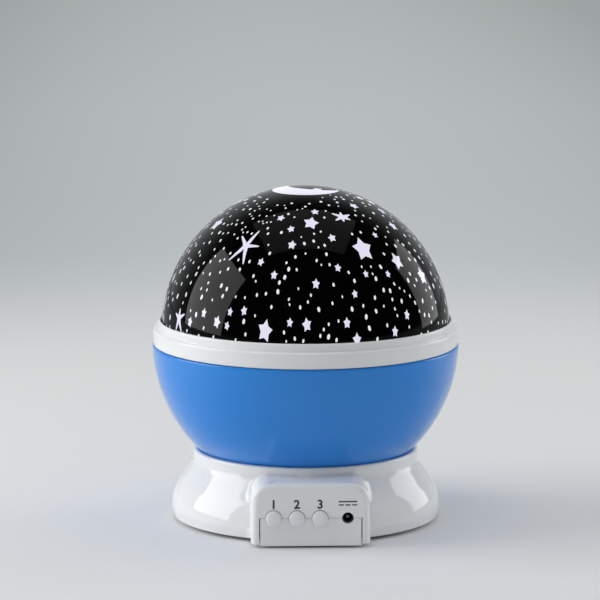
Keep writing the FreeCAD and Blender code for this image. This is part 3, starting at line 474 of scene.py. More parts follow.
def painted_glow_window_finish(name, base, glow):
    """The clear windows, faintly milky, with a painted glow that gives them light of their own. Like any
    clear plastic, they pass less light aslant, so the glow is painted darker aslant, though not on the
    crest, right over the lamps."""
    finish = Finish(name)
    tree = finish.tree
    place = on_object(tree)
    milk = noise(tree, place, 160.0, 3.0)
    body = tinted(tree, maths(tree, "MULTIPLY", milk, 0.2), base, (0.8, 0.8, 0.85))
    below_crest = spread(tree, node(tree, "SeparateXYZ", place).outputs[2], 137.0 * MM, 131.0 * MM)
    # Painted shade: the glow is darkened towards dark blue where a window is seen aslant, except on the
    # crest
    aslant = spread(tree, node(tree, "LayerWeight").outputs["Facing"], 0.6, 0.95)
    painted_aslant_shade = maths(tree, "MULTIPLY", aslant, below_crest)
    finish.link(tinted(tree, painted_aslant_shade, body, (0.12, 0.12, 0.22)), "Emission Color")
    finish.link(maths(tree, "MULTIPLY_ADD", milk, 0.05, 0.06), "Roughness")
    finish.link(bump(tree, 0.05, 0.00005, milk), "Normal")
    # Painted glow: the windows give off light though no lamp lights them
    finish.set(Base_Color=(0.16, 0.16, 0.18), Emission_Strength=glow, Specular_IOR_Level=0.3)
    return finish.material


def finishes():
    """The material of each slot of the record, and of the socket's pin, which is painted near black for the
    shade in its socket.
    """
    chosen = settings()
    plastics = (
        ("white_gloss", chosen.base.shell_colour, dict(gloss=0.06, cloudiness=0.03, ripple=0.02, dust=0.18)),
        ("blue_gloss", chosen.globe.bowl_colour,
         dict(gloss=0.12, cloudiness=0.05, ripple=0.02, unevenness=0.05, dust=0.08, Coat_Weight=0.2,
              Coat_Roughness=0.08, Specular_IOR_Level=0.4)),
        ("dome_black", chosen.dome.print_colour,
         dict(gloss=0.035, cloudiness=0.035, ripple=0.004, unevenness=0.01, dust=0.04,
              Specular_IOR_Level=0.125)),
        ("tray_white", (0.86, 0.86, 0.85), dict(gloss=0.42, grain=0.3, cloudiness=0.1)),
        ("button_white", (0.83, 0.845, 0.86), dict(gloss=0.20, cloudiness=0.06, grain=0.06)),
        ("foot_rubber", (0.025, 0.025, 0.027), dict(gloss=0.72, grain=0.8, dust=0.8)),
        ("black_part", (0.018, 0.018, 0.02), dict(gloss=0.4, grain=0.4, dust=0.3)),
        ("gear_acetal", (0.80, 0.79, 0.74), dict(gloss=0.34, grain=0.1, cloudiness=0.1)),
    )
    metals = (
        ("steel", (0.62, 0.62, 0.63), 900.0, 0.2),
        ("contact_nickel", (0.62, 0.60, 0.56), 1600.0, 0.1),
        # The socket's pin is painted near black for the shade deep in the socket
        ("pin_painted_shade", (0.035, 0.035, 0.035), 1600.0, 0.1),
        ("motor_steel", (0.55, 0.55, 0.56), 1400.0, 0.3),
    )
    made = {name: plastic(name, base, **values) for name, base, values in plastics}
    made.update((row[0], metal(*row)) for row in metals)
    made["cell_sleeve"] = sleeve_finish()
    made["board_green"] = board_finish()
    made["led_lens"] = lens_finish("led_lens", (0.9, 0.92, 0.95))
    return made


# Star windows
def star_shape(bm, points, outer, inner, turn, stretch):
    """A flat star with its middle at the origin, drawn out upwards once it is turned."""
    made = bmesh.ops.create_circle(bm, cap_ends=True, cap_tris=True, segments=2 * points,
                                   radius=outer)["verts"]
    rim = sorted((v for v in made if v.co.length > outer / 2), key=lambda v: math.atan2(v.co.y, v.co.x))
    for vert in rim[1::2]:
        vert.co *= inner / outer
    bmesh.ops.rotate(bm, verts=made, cent=ORIGIN, matrix=Matrix.Rotation(turn, 3, "Z"))
    bmesh.ops.scale(bm, verts=made, vec=(1, stretch, 1))


def spark_shape(bm, arms, width, core):
    """A star of thin arms with webs between them. arms gives the way and the length of each arm."""
    rim = []
    for i, (way, reach) in enumerate(arms):
        along, side = turned_to(way)
        for out, half in ((0.35, 0.8), (0.92, 0.36), (1.0, 0.0), (0.92, -0.36), (0.35, -0.8)):
            rim.append(along * out * reach - side * half * width)
        following = arms[(i + 1) % len(arms)][0] + (360 if i + 1 == len(arms) else 0)
        rim.append(turned_to((way + following) / 2)[0] * core)
    verts = [bm.verts.new(place) for place in rim]
    for first, second in zip(verts, verts[1:] + verts[:1]):
        bm.edges.new((first, second))
    bmesh.ops.contextual_create(bm, geom=bm.edges[:])


def dot_shape(bm, width, stretch, turn):
    """A small oval."""
    made = bmesh.ops.create_circle(bm, cap_ends=True, cap_tris=True, segments=12, radius=width / 2)["verts"]
    bmesh.ops.scale(bm, verts=made, vec=(1, stretch, 1))
    bmesh.ops.rotate(bm, verts=made, cent=ORIGIN, matrix=Matrix.Rotation(turn, 3, "Z"))


def moon_shape(bm, outer, inner, offset, steps=20):
    """A crescent: the room between a circle and a smaller one set off to a side."""
    reach = offset.length
    along = (outer**2 - inner**2 + reach**2) / (2 * reach)
    across = math.sqrt(outer**2 - along**2)
    way = offset.normalized()
    side = Vector((-way.y, way.x, 0))
    tip = way * along + side * across
    for radius, centre in ((outer, ORIGIN), (inner, offset)):
        start = tip - centre
        half = math.atan2(start.dot(side), start.dot(way))
        vert = bm.verts.new(tip)
        bmesh.ops.spin(bm, geom=[vert], cent=centre, axis=(0, 0, 1), angle=math.tau - 2 * half, steps=steps)
    bmesh.ops.bridge_loops(bm, edges=bm.edges[:])
    bmesh.ops.remove_doubles(bm, verts=bm.verts[:], dist=MERGE)


class StarPrint:
    """Lays flat shapes on the dome, each in its place, and turns them into thin raised patches."""

    def __init__(self):
        dome = settings().dome
        self.bm = bmesh.new()
        self.centre = Vector((0, 0, DOME_LOW.z))
        self.radius = DOME_HIGH.x
        self.high = dome.window_height
        self.taken = []

    def facing(self, azimuth, elevation):
        """The ways out of the dome, east and north at a place. Azimuth 0 is the front."""
        a, e = math.radians(azimuth), math.radians(elevation)
        out = Vector((math.sin(a) * math.cos(e), -math.cos(a) * math.cos(e), math.sin(e)))
        east = Vector((math.cos(a), math.sin(a), 0))
        return out, east, out.cross(east)

    def free(self, azimuth, elevation, size):
        """Whether a shape of this size there keeps clear of all others."""
        out = self.facing(azimuth, elevation)[0]
        return all((out - other).length * self.radius > size + room for other, room in self.taken)

    def lay(self, make, azimuth, elevation, size, *details):
        """Adds a shape, cut fine enough to follow the ball."""
        part = bmesh.new()
        make(part, *details)
        for _ in range(4):
            long_edges = [e for e in part.edges if e.calc_length() > LONGEST_EDGE]
            if not long_edges:
                break
            bmesh.ops.subdivide_edges(part, edges=long_edges, cuts=1)
        bmesh.ops.triangulate(part, faces=part.faces[:])
        out, east, north = self.facing(azimuth, elevation)
        for vert in part.verts:
            away = (out * self.radius + east * vert.co.x + north * vert.co.y).normalized()
            vert.co = self.centre + away * self.radius
        bmesh.ops.recalc_face_normals(part, faces=part.faces[:])
        mesh = mesh_of("shape", part)
        self.bm.from_mesh(mesh)
        bpy.data.meshes.remove(mesh)
        self.taken.append((out, size))

    def finished(self):
        """Gives the shapes their thickness, with their lower side sunk into the dome."""
        bm = self.bm
        low, high = -0.6 * self.high, self.high
        for vert in bm.verts:
            vert.co += (vert.co - self.centre).normalized() * low
        made = bmesh.ops.extrude_face_region(bm, geom=bm.faces[:], use_keep_orig=True)["geom"]
        for vert in made:
            if isinstance(vert, bmesh.types.BMVert):
                vert.co += (vert.co - self.centre).normalized() * (high - low)
        bmesh.ops.recalc_face_normals(bm, faces=bm.faces[:])
        return bm


LONGEST_EDGE = 2.2 * MM  # on the dome, so that flat shapes follow the ball

# Azimuth and elevation in degrees, then the way in degrees and the length in millimetres of each arm
SPARKS = [
    (-35.3, 42.8, ((6, 6.2), (73, 9.1), (132, 6.7), (233, 9.5), (284, 9.1))),
    (26.4, 58.7, ((15, 4.4), (80, 3.2), (140, 4.6), (205, 4.2), (262, 3.0), (325, 3.8))),
    (-63.0, 9.2, ((30, 4.8), (92, 4.2), (154, 3.9), (252, 5.6), (300, 6.4))),
    (118.0, 38.0, ((20, 6.8), (80, 4.8), (150, 6.6), (228, 7.0), (300, 5.0))),
    (176.0, 20.0, ((45, 5.4), (95, 4.4), (150, 5.2), (250, 6.4), (290, 6.4))),
    (-128.0, 50.0, ((10, 5.4), (70, 7.0), (130, 4.6), (215, 7.4), (285, 5.6))),
]
# Azimuth and elevation in degrees, outer radius in millimetres and turn of each large star
BIG_STARS = [
    (29.2, 41.5, 5.3, 0.30), (-18.0, 8.9, 4.0, 0.12), (1.7, 55.9, 3.6, 0.05), (46.8, 34.4, 3.6, 0.5),
    (60.3, 26.2, 3.5, 0.2), (-39.5, 10.7, 2.3, 0.0), (-47.0, 13.4, 1.8, 0.3), (-54.6, 8.9, 1.9, 0.1),
    (-33.8, 15.2, 1.6, 0.2), (-27.5, 16.1, 1.8, 0.5), (-34.5, 9.7, 1.6, 0.0), (-16.3, 31.0, 1.8, 0.3),
    (-23.9, 36.2, 1.7, 0.0), (-9.4, 44.5, 2.1, 0.2), (-11.3, 52.5, 1.8, 0.6), (-20.7, 58.5, 1.9, 0.1),
    (-73.6, 50.2, 3.6, 0.4), (6.0, 62.7, 1.9, 0.3), (13.4, 47.7, 2.0, 0.5), (13.2, 34.0, 1.7, 0.1),
    (26.2, 30.7, 1.5, 0.3), (37.9, 29.7, 1.5, 0.0), (2.5, 27.6, 2.0, 0.2), (19.1, 23.0, 1.6, 0.4),
    (42.7, 12.7, 1.9, 0.1), (14.5, 11.9, 2.0, 0.3), (-1.5, 11.6, 2.5, 0.5), (-8.2, 12.4, 1.7, 0.2),
    (18.3, 5.2, 2.5, 0.3), (35.5, 7.0, 2.0, 0.2), (65.4, 49.6, 2.5, 0.1), (42.1, 47.3, 1.5, 0.3),
    (48.4, 64.6, 2.2, 0.4), (92.0, 22.0, 4.2, 0.2), (140.0, 40.0, 4.0, 0.5), (-108.0, 30.0, 4.2, 0.1),
    (-152.0, 12.0, 4.0, 0.3), (158.0, 60.0, 3.4, 0.0), (100.0, 56.0, 3.6, 0.2), (-100.0, 62.0, 3.2, 0.4),
    (-170.0, 44.0, 3.8, 0.3), (122.0, 12.0, 3.8, 0.1), (-85.0, 12.0, 3.8, 0.5),
]
# The crescent's two circles, how far the inner one is set off, and the middle and size of the room it takes
MOON_OUTER, MOON_INNER, MOON_OFFSET = 14.5 * MM, 11.7 * MM, Vector((4.4, 4.8, 0)) * MM
MOON_ROOM = (Vector((-0.09, -0.09, 1.0)), 12.0 * MM)
# Half the width of a spark's arms, how far its webs reach, and the room it takes
SPARK_ARM, SPARK_WEB, SPARK_ROOM = 0.95 * MM, 1.5 * MM, 4.6 * MM
STAR_POINTS = 5
STAR_WAIST = 0.58        # inner radius of a star as a share of the outer one
STAR_DRAWN = 0.26        # how much a star at the dome's rim is drawn out
STAR_LOWEST = 3.0        # elevation of the lowest scattered star
STAR_SIZES = (1.5, 2.5)  # outer radius of a scattered star in millimetres
STAR_GAP = 0.9 * MM
FRONT_HALF = 76.0        # no star is scattered nearer to the front, which the lists fill
DOT_LOWEST = 2.2
DOT_SIZES = (0.5, 1.0)   # share of the largest dot's width
DOT_DRAWN = 0.95         # how much a dot at the dome's rim is drawn out
DOT_GAPS = (0.7, 2.4)    # least and largest gap in millimetres
CREST = 0.985            # sine of the highest elevation in the scatter
CROWD_AT = (-32, 58)     # azimuth and elevation where dots crowd together
CROWD_REACH = (22, 9)    # how far round and up they do
STAR_TRIES, DOT_TRIES = 12, 14  # for each one wanted


def crowding(azimuth, elevation):
    """How much the dots crowd together at a place, from 0 to 1."""
    aside = (azimuth - CROWD_AT[0]) / CROWD_REACH[0]
    above = (elevation - CROWD_AT[1]) / CROWD_REACH[1]
    return math.exp(-(aside**2 + above**2))


def star_print():
    """Crescent, sparks, stars and dots. Stars and dots are drawn out along the dome near its rim."""
    dome = settings().dome
    rng = random.Random(dome.seed)
    windows = StarPrint()
    windows.lay(moon_shape, 0.0, 90.0, MOON_OUTER, MOON_OUTER, MOON_INNER, MOON_OFFSET)
    windows.taken[-1] = MOON_ROOM
    windows.lay(star_shape, 40.0, 83.0, 2.6 * MM, STAR_POINTS, 2.6 * MM, 1.2 * MM, 0.4, 1.0)
    for azimuth, elevation, arms in SPARKS:
        arms = [(way, reach * MM) for way, reach in arms]
        windows.lay(spark_shape, azimuth, elevation, SPARK_ROOM, arms, SPARK_ARM, SPARK_WEB)

    def star(azimuth, elevation, outer, turn):
        drawn = 1.0 + STAR_DRAWN * math.cos(math.radians(elevation)) ** 2
        windows.lay(star_shape, azimuth, elevation, outer, STAR_POINTS, outer / drawn,
                    STAR_WAIST * outer / drawn, math.pi / 2 + turn, drawn**2)

    for azimuth, elevation, outer, turn in BIG_STARS:
        star(azimuth, elevation, outer * MM, turn)

    def somewhere(lowest):
        z = rng.uniform(math.sin(math.radians(lowest)), CREST)
        return rng.uniform(-180, 180), math.degrees(math.asin(z))

    def scatter(lay, wanted, tries, lowest):
        """Lays shapes at random places until as many as wanted have found room, or the tries run out."""
        count = 0
        for _ in range(tries * wanted):
            if count == wanted:
                break
            count += lay(*somewhere(lowest))

    def small_star(azimuth, elevation):
        outer = rng.uniform(*STAR_SIZES) * MM
        clear = abs(azimuth) > FRONT_HALF and windows.free(azimuth, elevation, outer + STAR_GAP)
        if clear:
            star(azimuth, elevation, outer, rng.uniform(-0.3, 0.3))
        return clear

    def dot(azimuth, elevation):
        low = math.cos(math.radians(elevation)) ** 2
        crowd = crowding(azimuth, elevation)
        width = dome.dot_width * rng.uniform(*DOT_SIZES) * (1 - 0.3 * crowd)
        stretch = 1.0 + DOT_DRAWN * low**0.8
        room = width * stretch / 2
        least, most = DOT_GAPS
        gap = rng.uniform(least, most + most * low) * MM * (1 - 0.85 * crowd)
        clear = dots.free(azimuth, elevation, room + gap)
        if clear:
            dots.lay(dot_shape, azimuth, elevation, room, width, stretch, rng.uniform(-0.25, 0.25))
        return clear

    scatter(small_star, dome.stars, STAR_TRIES, STAR_LOWEST)
    dots = StarPrint()
    dots.taken = windows.taken
    scatter(dot, dome.dots, DOT_TRIES, DOT_LOWEST)
    return windows.finished(), dots.finished()


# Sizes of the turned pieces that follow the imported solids
NOTCH_PLAY = 0.3 * MM
BOWL_SEAT_GAP = 0.2 * MM    # under the collar's spigot
COLLAR_GAP = 0.25 * MM      # between the bowl's lip and the collar
COLLAR_SHOULDER = 1.9 * MM  # width of the step
COLLAR_RIM = 1.25 * MM      # wall around the dome
LEDGE_R, LEDGE_TOP, LEDGE_UNDER = 55.0 * MM, 80.6 * MM, 76.4 * MM
SPIGOT_OUT, SPIGOT_IN = 62.38 * MM, 60.48 * MM
FLANGE_T = 1.0 * MM         # of the buttons and of the lamps
LAMP_FLANGE = 0.4 * MM      # how far a lamp's flange stands out


# Operators
class NIGHTLIGHT_OT_dome(bpy.types.Operator):
    """Turn the dark dome and lay the star windows on it"""
    bl_idname = "nightlight.dome"
    bl_label = "Dome"

    def execute(self, context):
        dome = settings().dome
        radius, low = DOME_HIGH.x, DOME_LOW.z
        shell = Outline(radius, low)
        shell.arc(low, -90.0, 48).to(0, DOME_HIGH.z - dome.wall).arc(low, 90.0, 40)
        bm = shell.turned(ROUND_STEPS)
        globe = settings().globe
        for angle in KEY_ANGLES:
            cut_notch(bm, angle, globe.key_width + 2 * NOTCH_PLAY, globe.key_top + NOTCH_PLAY)
        piece = add_piece("dome_shell", bm, "dome", FINISH["dome_black"])
        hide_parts("star_dome")
        stars, dots = star_print()
        rows = (("star_windows", stars, dome.star_tint), ("dot_windows", dots, dome.dot_tint))
        for name, bm, tint in rows:
            add_piece(name, bm, "dome", painted_glow_window_finish(name, tint, dome.glow), 30.0)
        return {"FINISHED"}


class NIGHTLIGHT_OT_bowl(bpy.types.Operator):
    """Turn the blue bowl with its rounded lip"""
    bl_idname = "nightlight.bowl"
    bl_label = "Bowl"

    def execute(self, context):
        globe = settings().globe
        radius, flat, floor, lip = globe.radius, globe.flat_radius, BOWL_LOW.z, BOWL_HIGH.z
        centre = floor + math.sqrt(radius**2 - flat**2)
        inner = radius - globe.wall

        def angle(r, z):
            return math.degrees(math.asin((z - centre) / r))

        seat = COLLAR_LOW.z - BOWL_SEAT_GAP
        edge = lip - 1.2 * globe.lip_round
        bowl = Outline(globe.hub_radius, floor).to(flat, floor)
        bowl.arc(centre, angle(radius, floor) - angle(radius, edge), 40)
        bowl.to(radius * math.cos(math.radians(angle(radius, lip))), lip, globe.lip_round)
        seat_r = math.sqrt(inner**2 - (seat - centre) ** 2)
        bowl.to(seat_r, lip).to(seat_r, seat)
        bowl.arc(centre, angle(inner, seat) - angle(inner, floor + globe.wall), 24)
        bowl.to(globe.hub_radius, floor + globe.wall)
        bm = bowl.turned(ROUND_STEPS)
        piece = add_piece("bowl_moulding", bm, "globe", FINISH["blue_gloss"])
        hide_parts("bowl_shell")
        return {"FINISHED"}


class NIGHTLIGHT_OT_collar(bpy.types.Operator):
    """Turn the white stepped collar"""
    bl_idname = "nightlight.collar"
    bl_label = "Collar"

    def execute(self, context):
        globe = settings().globe
        soft, fine = globe.collar_round, 0.3 * MM
        out, top, low, step = COLLAR_HIGH.x, COLLAR_HIGH.z, BOWL_HIGH.z + COLLAR_GAP, globe.collar_step
        upper = out - COLLAR_SHOULDER
        seat = upper - COLLAR_RIM
        ring = Outline(SPIGOT_IN, COLLAR_LOW.z)
        ring.to(SPIGOT_OUT, COLLAR_LOW.z).to(SPIGOT_OUT, low).to(out, low, 0.45 * MM)
        ring.to(out, step, soft).to(upper, step, 0.35 * MM)
        ring.to(upper, top, soft * 0.8).to(seat, top, fine).to(seat, LEDGE_TOP)
        ring.to(LEDGE_R, LEDGE_TOP, fine).to(LEDGE_R, LEDGE_UNDER, fine).to(SPIGOT_IN, LEDGE_UNDER)
        bm = ring.turned(ROUND_STEPS)
        key_deep, key_high = 2.2 * MM, 2.4 * MM
        for angle in KEY_ANGLES:
            out_way = turned_to(angle)[0] * (seat - 0.7 * MM)
            place = Matrix.Translation(out_way + Vector((0, 0, globe.key_top - key_high / 2)))
            turn = Matrix.Rotation(math.radians(angle), 4, "Z")
            size = Matrix.Diagonal((key_deep, globe.key_width, key_high, 1))
            bmesh.ops.create_cube(bm, size=1.0, matrix=place @ turn @ size)
        piece = add_piece("collar_moulding", bm, "globe", FINISH["white_gloss"])
        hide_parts("collar_ring")
        return {"FINISHED"}


class NIGHTLIGHT_OT_base(bpy.types.Operator):
    """Give the base shell and its plate a skin that shades smoothly"""
    bl_idname = "nightlight.base"
    bl_label = "Base"

    def execute(self, context):
        base = settings().base
        panel_back = PANEL_Y + 3 * MM
        for name in ("base_shell", "base_plate"):
            bm = bmesh.new()
            bm.from_mesh(frame["nodes"][name].data)
            bmesh.ops.remove_doubles(bm, verts=bm.verts[:], dist=2e-6)
            if name == "base_shell":
                lip = [v for v in bm.verts if v.co.z > SHELL_HIGH.z - 0.05 * MM]
                inner = min(math.hypot(*v.co.xy) for v in lip)
                for vert in lip:
                    if math.hypot(*vert.co.xy) < inner + 0.1 * MM:
                        vert.co.z += base.lip_rise
            else:
                for vert in bm.verts:
                    if vert.co.y < panel_back and abs(vert.co.z - base.seam_top) < 0.02 * MM:
                        vert.co.z += base.seam_close
            piece = add_piece(name + "_skin", bm, "base", FINISH["white_gloss"], 28.0)
            even = piece.modifiers.new("even_shading", "WEIGHTED_NORMAL")
            even.keep_sharp = True
            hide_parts(name)
        return {"FINISHED"}


class NIGHTLIGHT_OT_buttons(bpy.types.Operator):
    """Turn the three crowned buttons"""
    bl_idname = "nightlight.buttons"
    bl_label = "Buttons"

    def execute(self, context):
        base = settings().base
        radius, crown = base.button_radius, base.button_crown
        ball = (radius**2 + crown**2) / (2 * crown)
        for i in (1, 2, 3):
            name = f"button_{i}"
            low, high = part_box(name)
            middle = Vector(((low.x + high.x) / 2, 0, (low.z + high.z) / 2 - base.button_sag))
            tip, back = -low.y, -high.y
            flange, flange_r = back + FLANGE_T, high.x - middle.x
            cap = Outline(0, back)
            cap.to(flange_r, back).to(flange_r, flange)
            cap.to(radius, flange).to(radius, tip - crown, 0.6 * MM)
            cap.arc(tip - ball, -math.degrees(math.asin(radius / ball)), 5)
            bm = moved(cap.turned(64, closed=False), Matrix.Rotation(math.radians(90), 4, "X"),
                       Matrix.Translation(middle))
            piece = add_piece(f"cap_{i}", bm, name, FINISH["button_white"], 40.0)
            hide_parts(name)
        return {"FINISHED"}


class NIGHTLIGHT_OT_lamps(bpy.types.Operator):
    """Turn the domed lenses of the lamps"""
    bl_idname = "nightlight.lamps"
    bl_label = "Lamps"

    def execute(self, context):
        tints = {"red": (0.95, 0.12, 0.08), "green": (0.10, 0.85, 0.22), "blue": (0.10, 0.22, 0.95),
                 "warm": (0.98, 0.78, 0.45)}
        for name, tint in tints.items():
            low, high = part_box("led_" + name)
            foot = (high.x - low.x) / 2
            barrel, flange = foot - LAMP_FLANGE, low.z + FLANGE_T
            lens = Outline(0, low.z).to(foot, low.z).to(foot, flange, 0.1 * MM)
            lens.to(barrel, flange).to(barrel, high.z - barrel).arc(high.z - barrel, -90.0, 10)
            bm = moved(lens.turned(36, closed=False),
                       Matrix.Translation(((low.x + high.x) / 2, (low.y + high.y) / 2, 0)))
            title = "lens_" + name
            piece = add_piece(title, bm, "base", lens_finish(title, tint), 40.0)
            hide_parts("led_" + name)
        return {"FINISHED"}


INK_RISE = 0.02 * MM  # how far the print stands out of the panel
CAP_SHARE = 0.73      # height of a number as a share of the font's size
SIGN_RISE = 5.6 * MM  # middle of the sign above the socket's pin
SIGN_HALF = 0.7 * MM  # half the room between its two lines
SIGN_LONG, SIGN_SHORT, SIGN_BAR, SIGN_PITCH = 7.6 * MM, 2.1 * MM, 0.55 * MM, 2.75 * MM


class NIGHTLIGHT_OT_marks(bpy.types.Operator):
    """Print plain numbers over the buttons and the direct current sign over the socket"""
    bl_idname = "nightlight.marks"
    bl_label = "Panel marks"

    def execute(self, context):
        base = settings().base
        ink = plastic("mark_ink", base.mark_colour, gloss=0.45, grain=0.1, dust=0.1)
        for i, text in enumerate(base.marks, 1):
            low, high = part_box(f"button_{i}")
            curve = bpy.data.curves.new("number", "FONT")
            curve.body = text
            curve.align_x = "CENTER"
            curve.size = base.mark_height / CAP_SHARE
            curve.extrude = INK_RISE
            curve.offset = base.mark_bold
            holder = in_scene("number", curve)
            bpy.context.view_layer.update()
            graph = bpy.context.evaluated_depsgraph_get()
            mesh = bpy.data.meshes.new_from_object(holder.evaluated_get(graph))
            bpy.data.objects.remove(holder)
            bm = bmesh.new()
            bm.from_mesh(mesh)
            bmesh.ops.remove_doubles(bm, verts=bm.verts[:], dist=1e-7)
            middle = Vector(((low.x + high.x) / 2, PANEL_Y, high.z))
            moved(bm, Matrix.Rotation(math.radians(90), 4, "X"), Matrix.Translation(middle))
            add_piece(f"number_{text}", bm, "base", ink, 20.0)
        pin_low, pin_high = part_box("dc_pin")
        x, z = (pin_low.x + pin_high.x) / 2, pin_high.z + SIGN_RISE
        bm = bmesh.new()
        bars = [(x, z + SIGN_HALF, SIGN_LONG)]
        bars += [(x + k * SIGN_PITCH, z - SIGN_HALF, SIGN_SHORT) for k in (-1, 0, 1)]
        for bar_x, bar_z, wide in bars:
            size = Matrix.Diagonal((wide, 2 * INK_RISE, SIGN_BAR, 1))
            bmesh.ops.create_cube(bm, size=1.0, matrix=Matrix.Translation((bar_x, PANEL_Y, bar_z)) @ size)
        add_piece("direct_current_sign", bm, "base", ink, 20.0)
        return {"FINISHED"}


class NIGHTLIGHT_OT_finishes(bpy.types.Operator):
    """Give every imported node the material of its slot"""
    bl_idname = "nightlight.finishes"
    bl_label = "Finishes"

    def execute(self, context):
        FINISH.update(finishes())
        for row in frame["record"]["subparts"]:
            mesh = frame["nodes"][row["node"]].data
            mesh.materials.clear()
            # The socket's pin takes its painted shade in place of its slot's metal
            mesh.materials.append(FINISH["pin_painted_shade" if row["node"] == "dc_pin" else row["material_slot"]])
        return {"FINISHED"}


AIM = Vector((0, 0, 0.08))  # point that the lamps face
# Name, place, size, power in watts, and whether gloss shows the lamp
LAMPS = (
    ("softbox_left", (-1.09, 0.03, 0.50), (0.93, 0.93), 9.9, True),
    ("softbox_right", (1.03, 0.49, 0.40), (0.58, 0.76), 3.5, True),
    ("softbox_top", (0.0, 0.16, 1.39), (1.3, 1.05), 2.2, True),
    ("front_fill", (-0.2, -0.6, 1.5), (0.6, 0.6), 1.7, False),
    ("right_fill", (1.15, -0.1, 0.5), (0.6, 0.6), 1.0, False),
)
FLOOR_R = 9.0
FLOOR_REACH = 4.0      # distance from the object of the last grey
# Share of that reach, and the floor's grey there, as the camera and gloss see it: a painted fall-off of
# light, darker away from the object
FLOOR_PAINTED_FALLOFF = ((0.0, 0.66), (0.06, 0.66), (0.114, 0.61), (0.15, 0.552), (0.19, 0.52), (0.24, 0.508),
               (0.36, 0.503), (0.55, 0.462), (1.0, 0.38))
FLOOR_RED = 0.94       # red as a share of green and blue
FLOOR_LIT = (0.30, 0.75)  # distances over which the lit floor gives way to the even one
# Painted pool of light on the far floor
PAINTED_POOL_X, PAINTED_POOL_FALL, PAINTED_POOL_LEAST = 0.055, -2.4, 0.8  # the far floor is brightest a little to the right


def softbox(name, place, size, power, seen):
    """A large area lamp that faces the globe."""
    lamp = bpy.data.lights.new(name, "AREA")
    lamp.shape = "RECTANGLE"
    lamp.size, lamp.size_y = size
    lamp.energy = power
    holder = in_scene(name, lamp)
    holder.location = place
    holder.rotation_euler = (Vector(place) - AIM).to_track_quat("Z", "Y").to_euler()
    holder.visible_camera = False
    holder.visible_glossy = seen


def floor_material(near):
    """Pale floor that takes the object's shadow, and the backdrop that it runs into, painted with a fall-off
    of light away from the object and a pool of light a little to the right.
    """
    material = bpy.data.materials.new("pale_floor")
    material.use_nodes = True
    tree = material.node_tree
    shader = tree.nodes["Principled BSDF"]
    place = on_object(tree)
    away = node(tree, "VectorMath", place, operation="LENGTH").outputs[1]
    # Painted fall-off of light: the far floor's grey darkens away from the object
    ramp = node(tree, "ValToRGB", maths(tree, "MULTIPLY", away, 1 / FLOOR_REACH))
    stops = ramp.color_ramp.elements
    for i, (at, grey) in enumerate(FLOOR_PAINTED_FALLOFF):
        stop = stops[i] if i < 2 else stops.new(at)
        stop.position = at
        stop.color = (grey * FLOOR_RED, grey, grey, 1)
    grain = noise(tree, place, 24.0, 3.0)
    rough = maths(tree, "MULTIPLY_ADD", grain, 0.1, 0.5)
    for value, title in ((near, "Base Color"), (rough, "Roughness"), (0.2, "Specular IOR Level")):
        put(tree, value, shader.inputs[title])
    # Painted pool of light: the far floor is brighter a little to the right
    aside = maths(tree, "SUBTRACT", node(tree, "SeparateXYZ", place).outputs[0], PAINTED_POOL_X)
    painted_pool_of_light = maths(tree, "MULTIPLY_ADD", maths(tree, "MULTIPLY", aside, aside), PAINTED_POOL_FALL, 1.0)
    glow = node(tree, "Emission", ramp.outputs[0], maths(tree, "MAXIMUM", painted_pool_of_light, PAINTED_POOL_LEAST))
    path = node(tree, "LightPath").outputs
    seen = maths(tree, "MAXIMUM", path["Is Camera Ray"], path["Is Glossy Ray"])
    seen = maths(tree, "MAXIMUM", seen, path["Is Transmission Ray"])
    far = maths(tree, "MULTIPLY", spread(tree, away, *FLOOR_LIT), seen)
    mix = node(tree, "MixShader", far, shader.outputs[0], glow.outputs[0])
    tree.links.new(mix.outputs[0], tree.nodes["Material Output"].inputs[0])
    return material


def studio_world(ambient, backdrop):
    """Even light from all round, and for gloss a pale backdrop that rises behind the object."""
    world = bpy.data.worlds.new("studio")
    world.use_nodes = True
    tree = world.node_tree
    tree.nodes.clear()
    path = node(tree, "LightPath").outputs
    way = node(tree, "SeparateXYZ", node(tree, "TexCoord").outputs["Generated"]).outputs
    behind = maths(tree, "MULTIPLY", spread(tree, way[1], 0.3, 0.95), spread(tree, way[2], 0.9, 0.4))
    risen = maths(tree, "MULTIPLY_ADD", behind, backdrop, 0.03)
    plain = node(tree, "Background", (0.98, 0.99, 1.0), ambient).outputs[0]
    glossy = node(tree, "Background", (0.95, 0.98, 1.0), risen).outputs[0]
    seen = node(tree, "Background", (0.40, 0.415, 0.42), 1.0).outputs[0]
    clear = maths(tree, "MAXIMUM", path["Is Camera Ray"], path["Is Transmission Ray"])
    first = node(tree, "MixShader", clear, plain, seen).outputs[0]
    mix = node(tree, "MixShader", path["Is Glossy Ray"], first, glossy).outputs[0]
    tree.links.new(mix, node(tree, "OutputWorld").inputs[0])
    return world


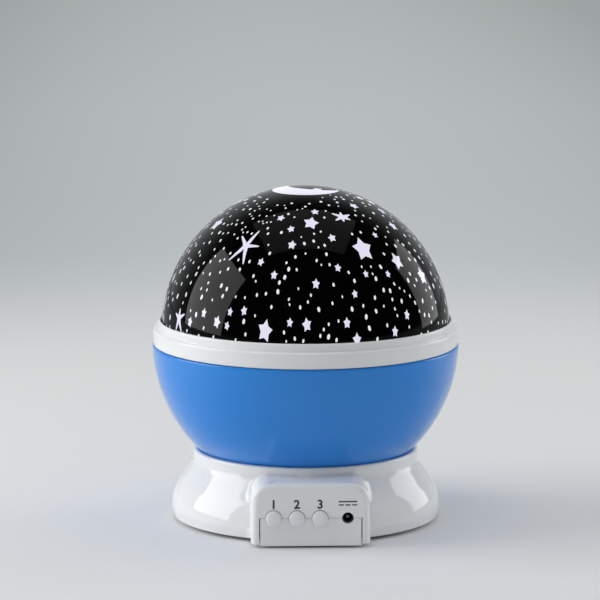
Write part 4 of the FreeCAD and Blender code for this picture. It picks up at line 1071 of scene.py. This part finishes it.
class NIGHTLIGHT_OT_stage(bpy.types.Operator):
    """Set up the floor, the lamps and the camera"""
    bl_idname = "nightlight.stage"
    bl_label = "Stage"

    def execute(self, context):
        stage = settings().stage
        scene = bpy.context.scene
        scene.view_settings.view_transform = "Standard"
        scene.world = studio_world(stage.ambient, stage.backdrop)
        bm = bmesh.new()
        bmesh.ops.create_circle(bm, cap_ends=True, segments=96, radius=FLOOR_R)
        mesh = mesh_of("floor", bm)
        mesh.materials.append(floor_material(stage.floor_colour))
        in_scene("floor", mesh)
        for row in LAMPS:
            softbox(*row)
        camera = bpy.data.cameras.new("camera")
        camera.lens = stage.lens
        camera.sensor_width = 36.0
        camera.shift_x = stage.shift
        camera.clip_start, camera.clip_end = 0.05, 30.0
        holder = in_scene("camera", camera)
        aside, forward = math.sin(stage.turn) * stage.away, math.cos(stage.turn) * stage.away
        holder.location = (aside, -forward, stage.height)
        holder.rotation_euler = (math.radians(90) - stage.pitch, 0, stage.turn)
        scene.camera = holder
        return {"FINISHED"}


class NIGHTLIGHT_PT_panel(bpy.types.Panel):
    """Lists the steps in the 3D view's sidebar"""
    bl_idname = "NIGHTLIGHT_PT_panel"
    bl_label = "Night Light"
    bl_space_type = "VIEW_3D"
    bl_region_type = "UI"
    bl_category = "Night Light"

    def draw(self, context):
        for step in STEPS:
            self.layout.operator(step.bl_idname)


class NightLightSettings(bpy.types.PropertyGroup):
    dome: PointerProperty(type=DomeSettings, name="Dome", description="Sizes and colours of the dome")
    globe: PointerProperty(type=GlobeSettings, name="Globe", description="Sizes and colours of the globe")
    base: PointerProperty(type=BaseSettings, name="Base", description="Sizes and colours of base and panel")
    stage: PointerProperty(type=StageSettings, name="Stage", description="Camera, floor and light")


STEPS = (NIGHTLIGHT_OT_finishes, NIGHTLIGHT_OT_dome, NIGHTLIGHT_OT_bowl, NIGHTLIGHT_OT_collar,
         NIGHTLIGHT_OT_base, NIGHTLIGHT_OT_buttons, NIGHTLIGHT_OT_lamps, NIGHTLIGHT_OT_marks,
         NIGHTLIGHT_OT_stage)
CLASSES = (DomeSettings, GlobeSettings, BaseSettings, StageSettings, NightLightSettings, *STEPS,
           NIGHTLIGHT_PT_panel)


def register():
    for cls in CLASSES:
        bpy.utils.register_class(cls)
    bpy.types.Scene.night_light = PointerProperty(type=NightLightSettings)


def unregister():
    del bpy.types.Scene.night_light
    for cls in reversed(CLASSES):
        bpy.utils.unregister_class(cls)


def main():
    register()
    bpy.ops.nightlight.finishes()
    bpy.ops.nightlight.dome()
    bpy.ops.nightlight.bowl()
    bpy.ops.nightlight.collar()
    bpy.ops.nightlight.base()
    bpy.ops.nightlight.buttons()
    bpy.ops.nightlight.lamps()
    bpy.ops.nightlight.marks()
    bpy.ops.nightlight.stage()


if __name__ == "__main__":
    main()
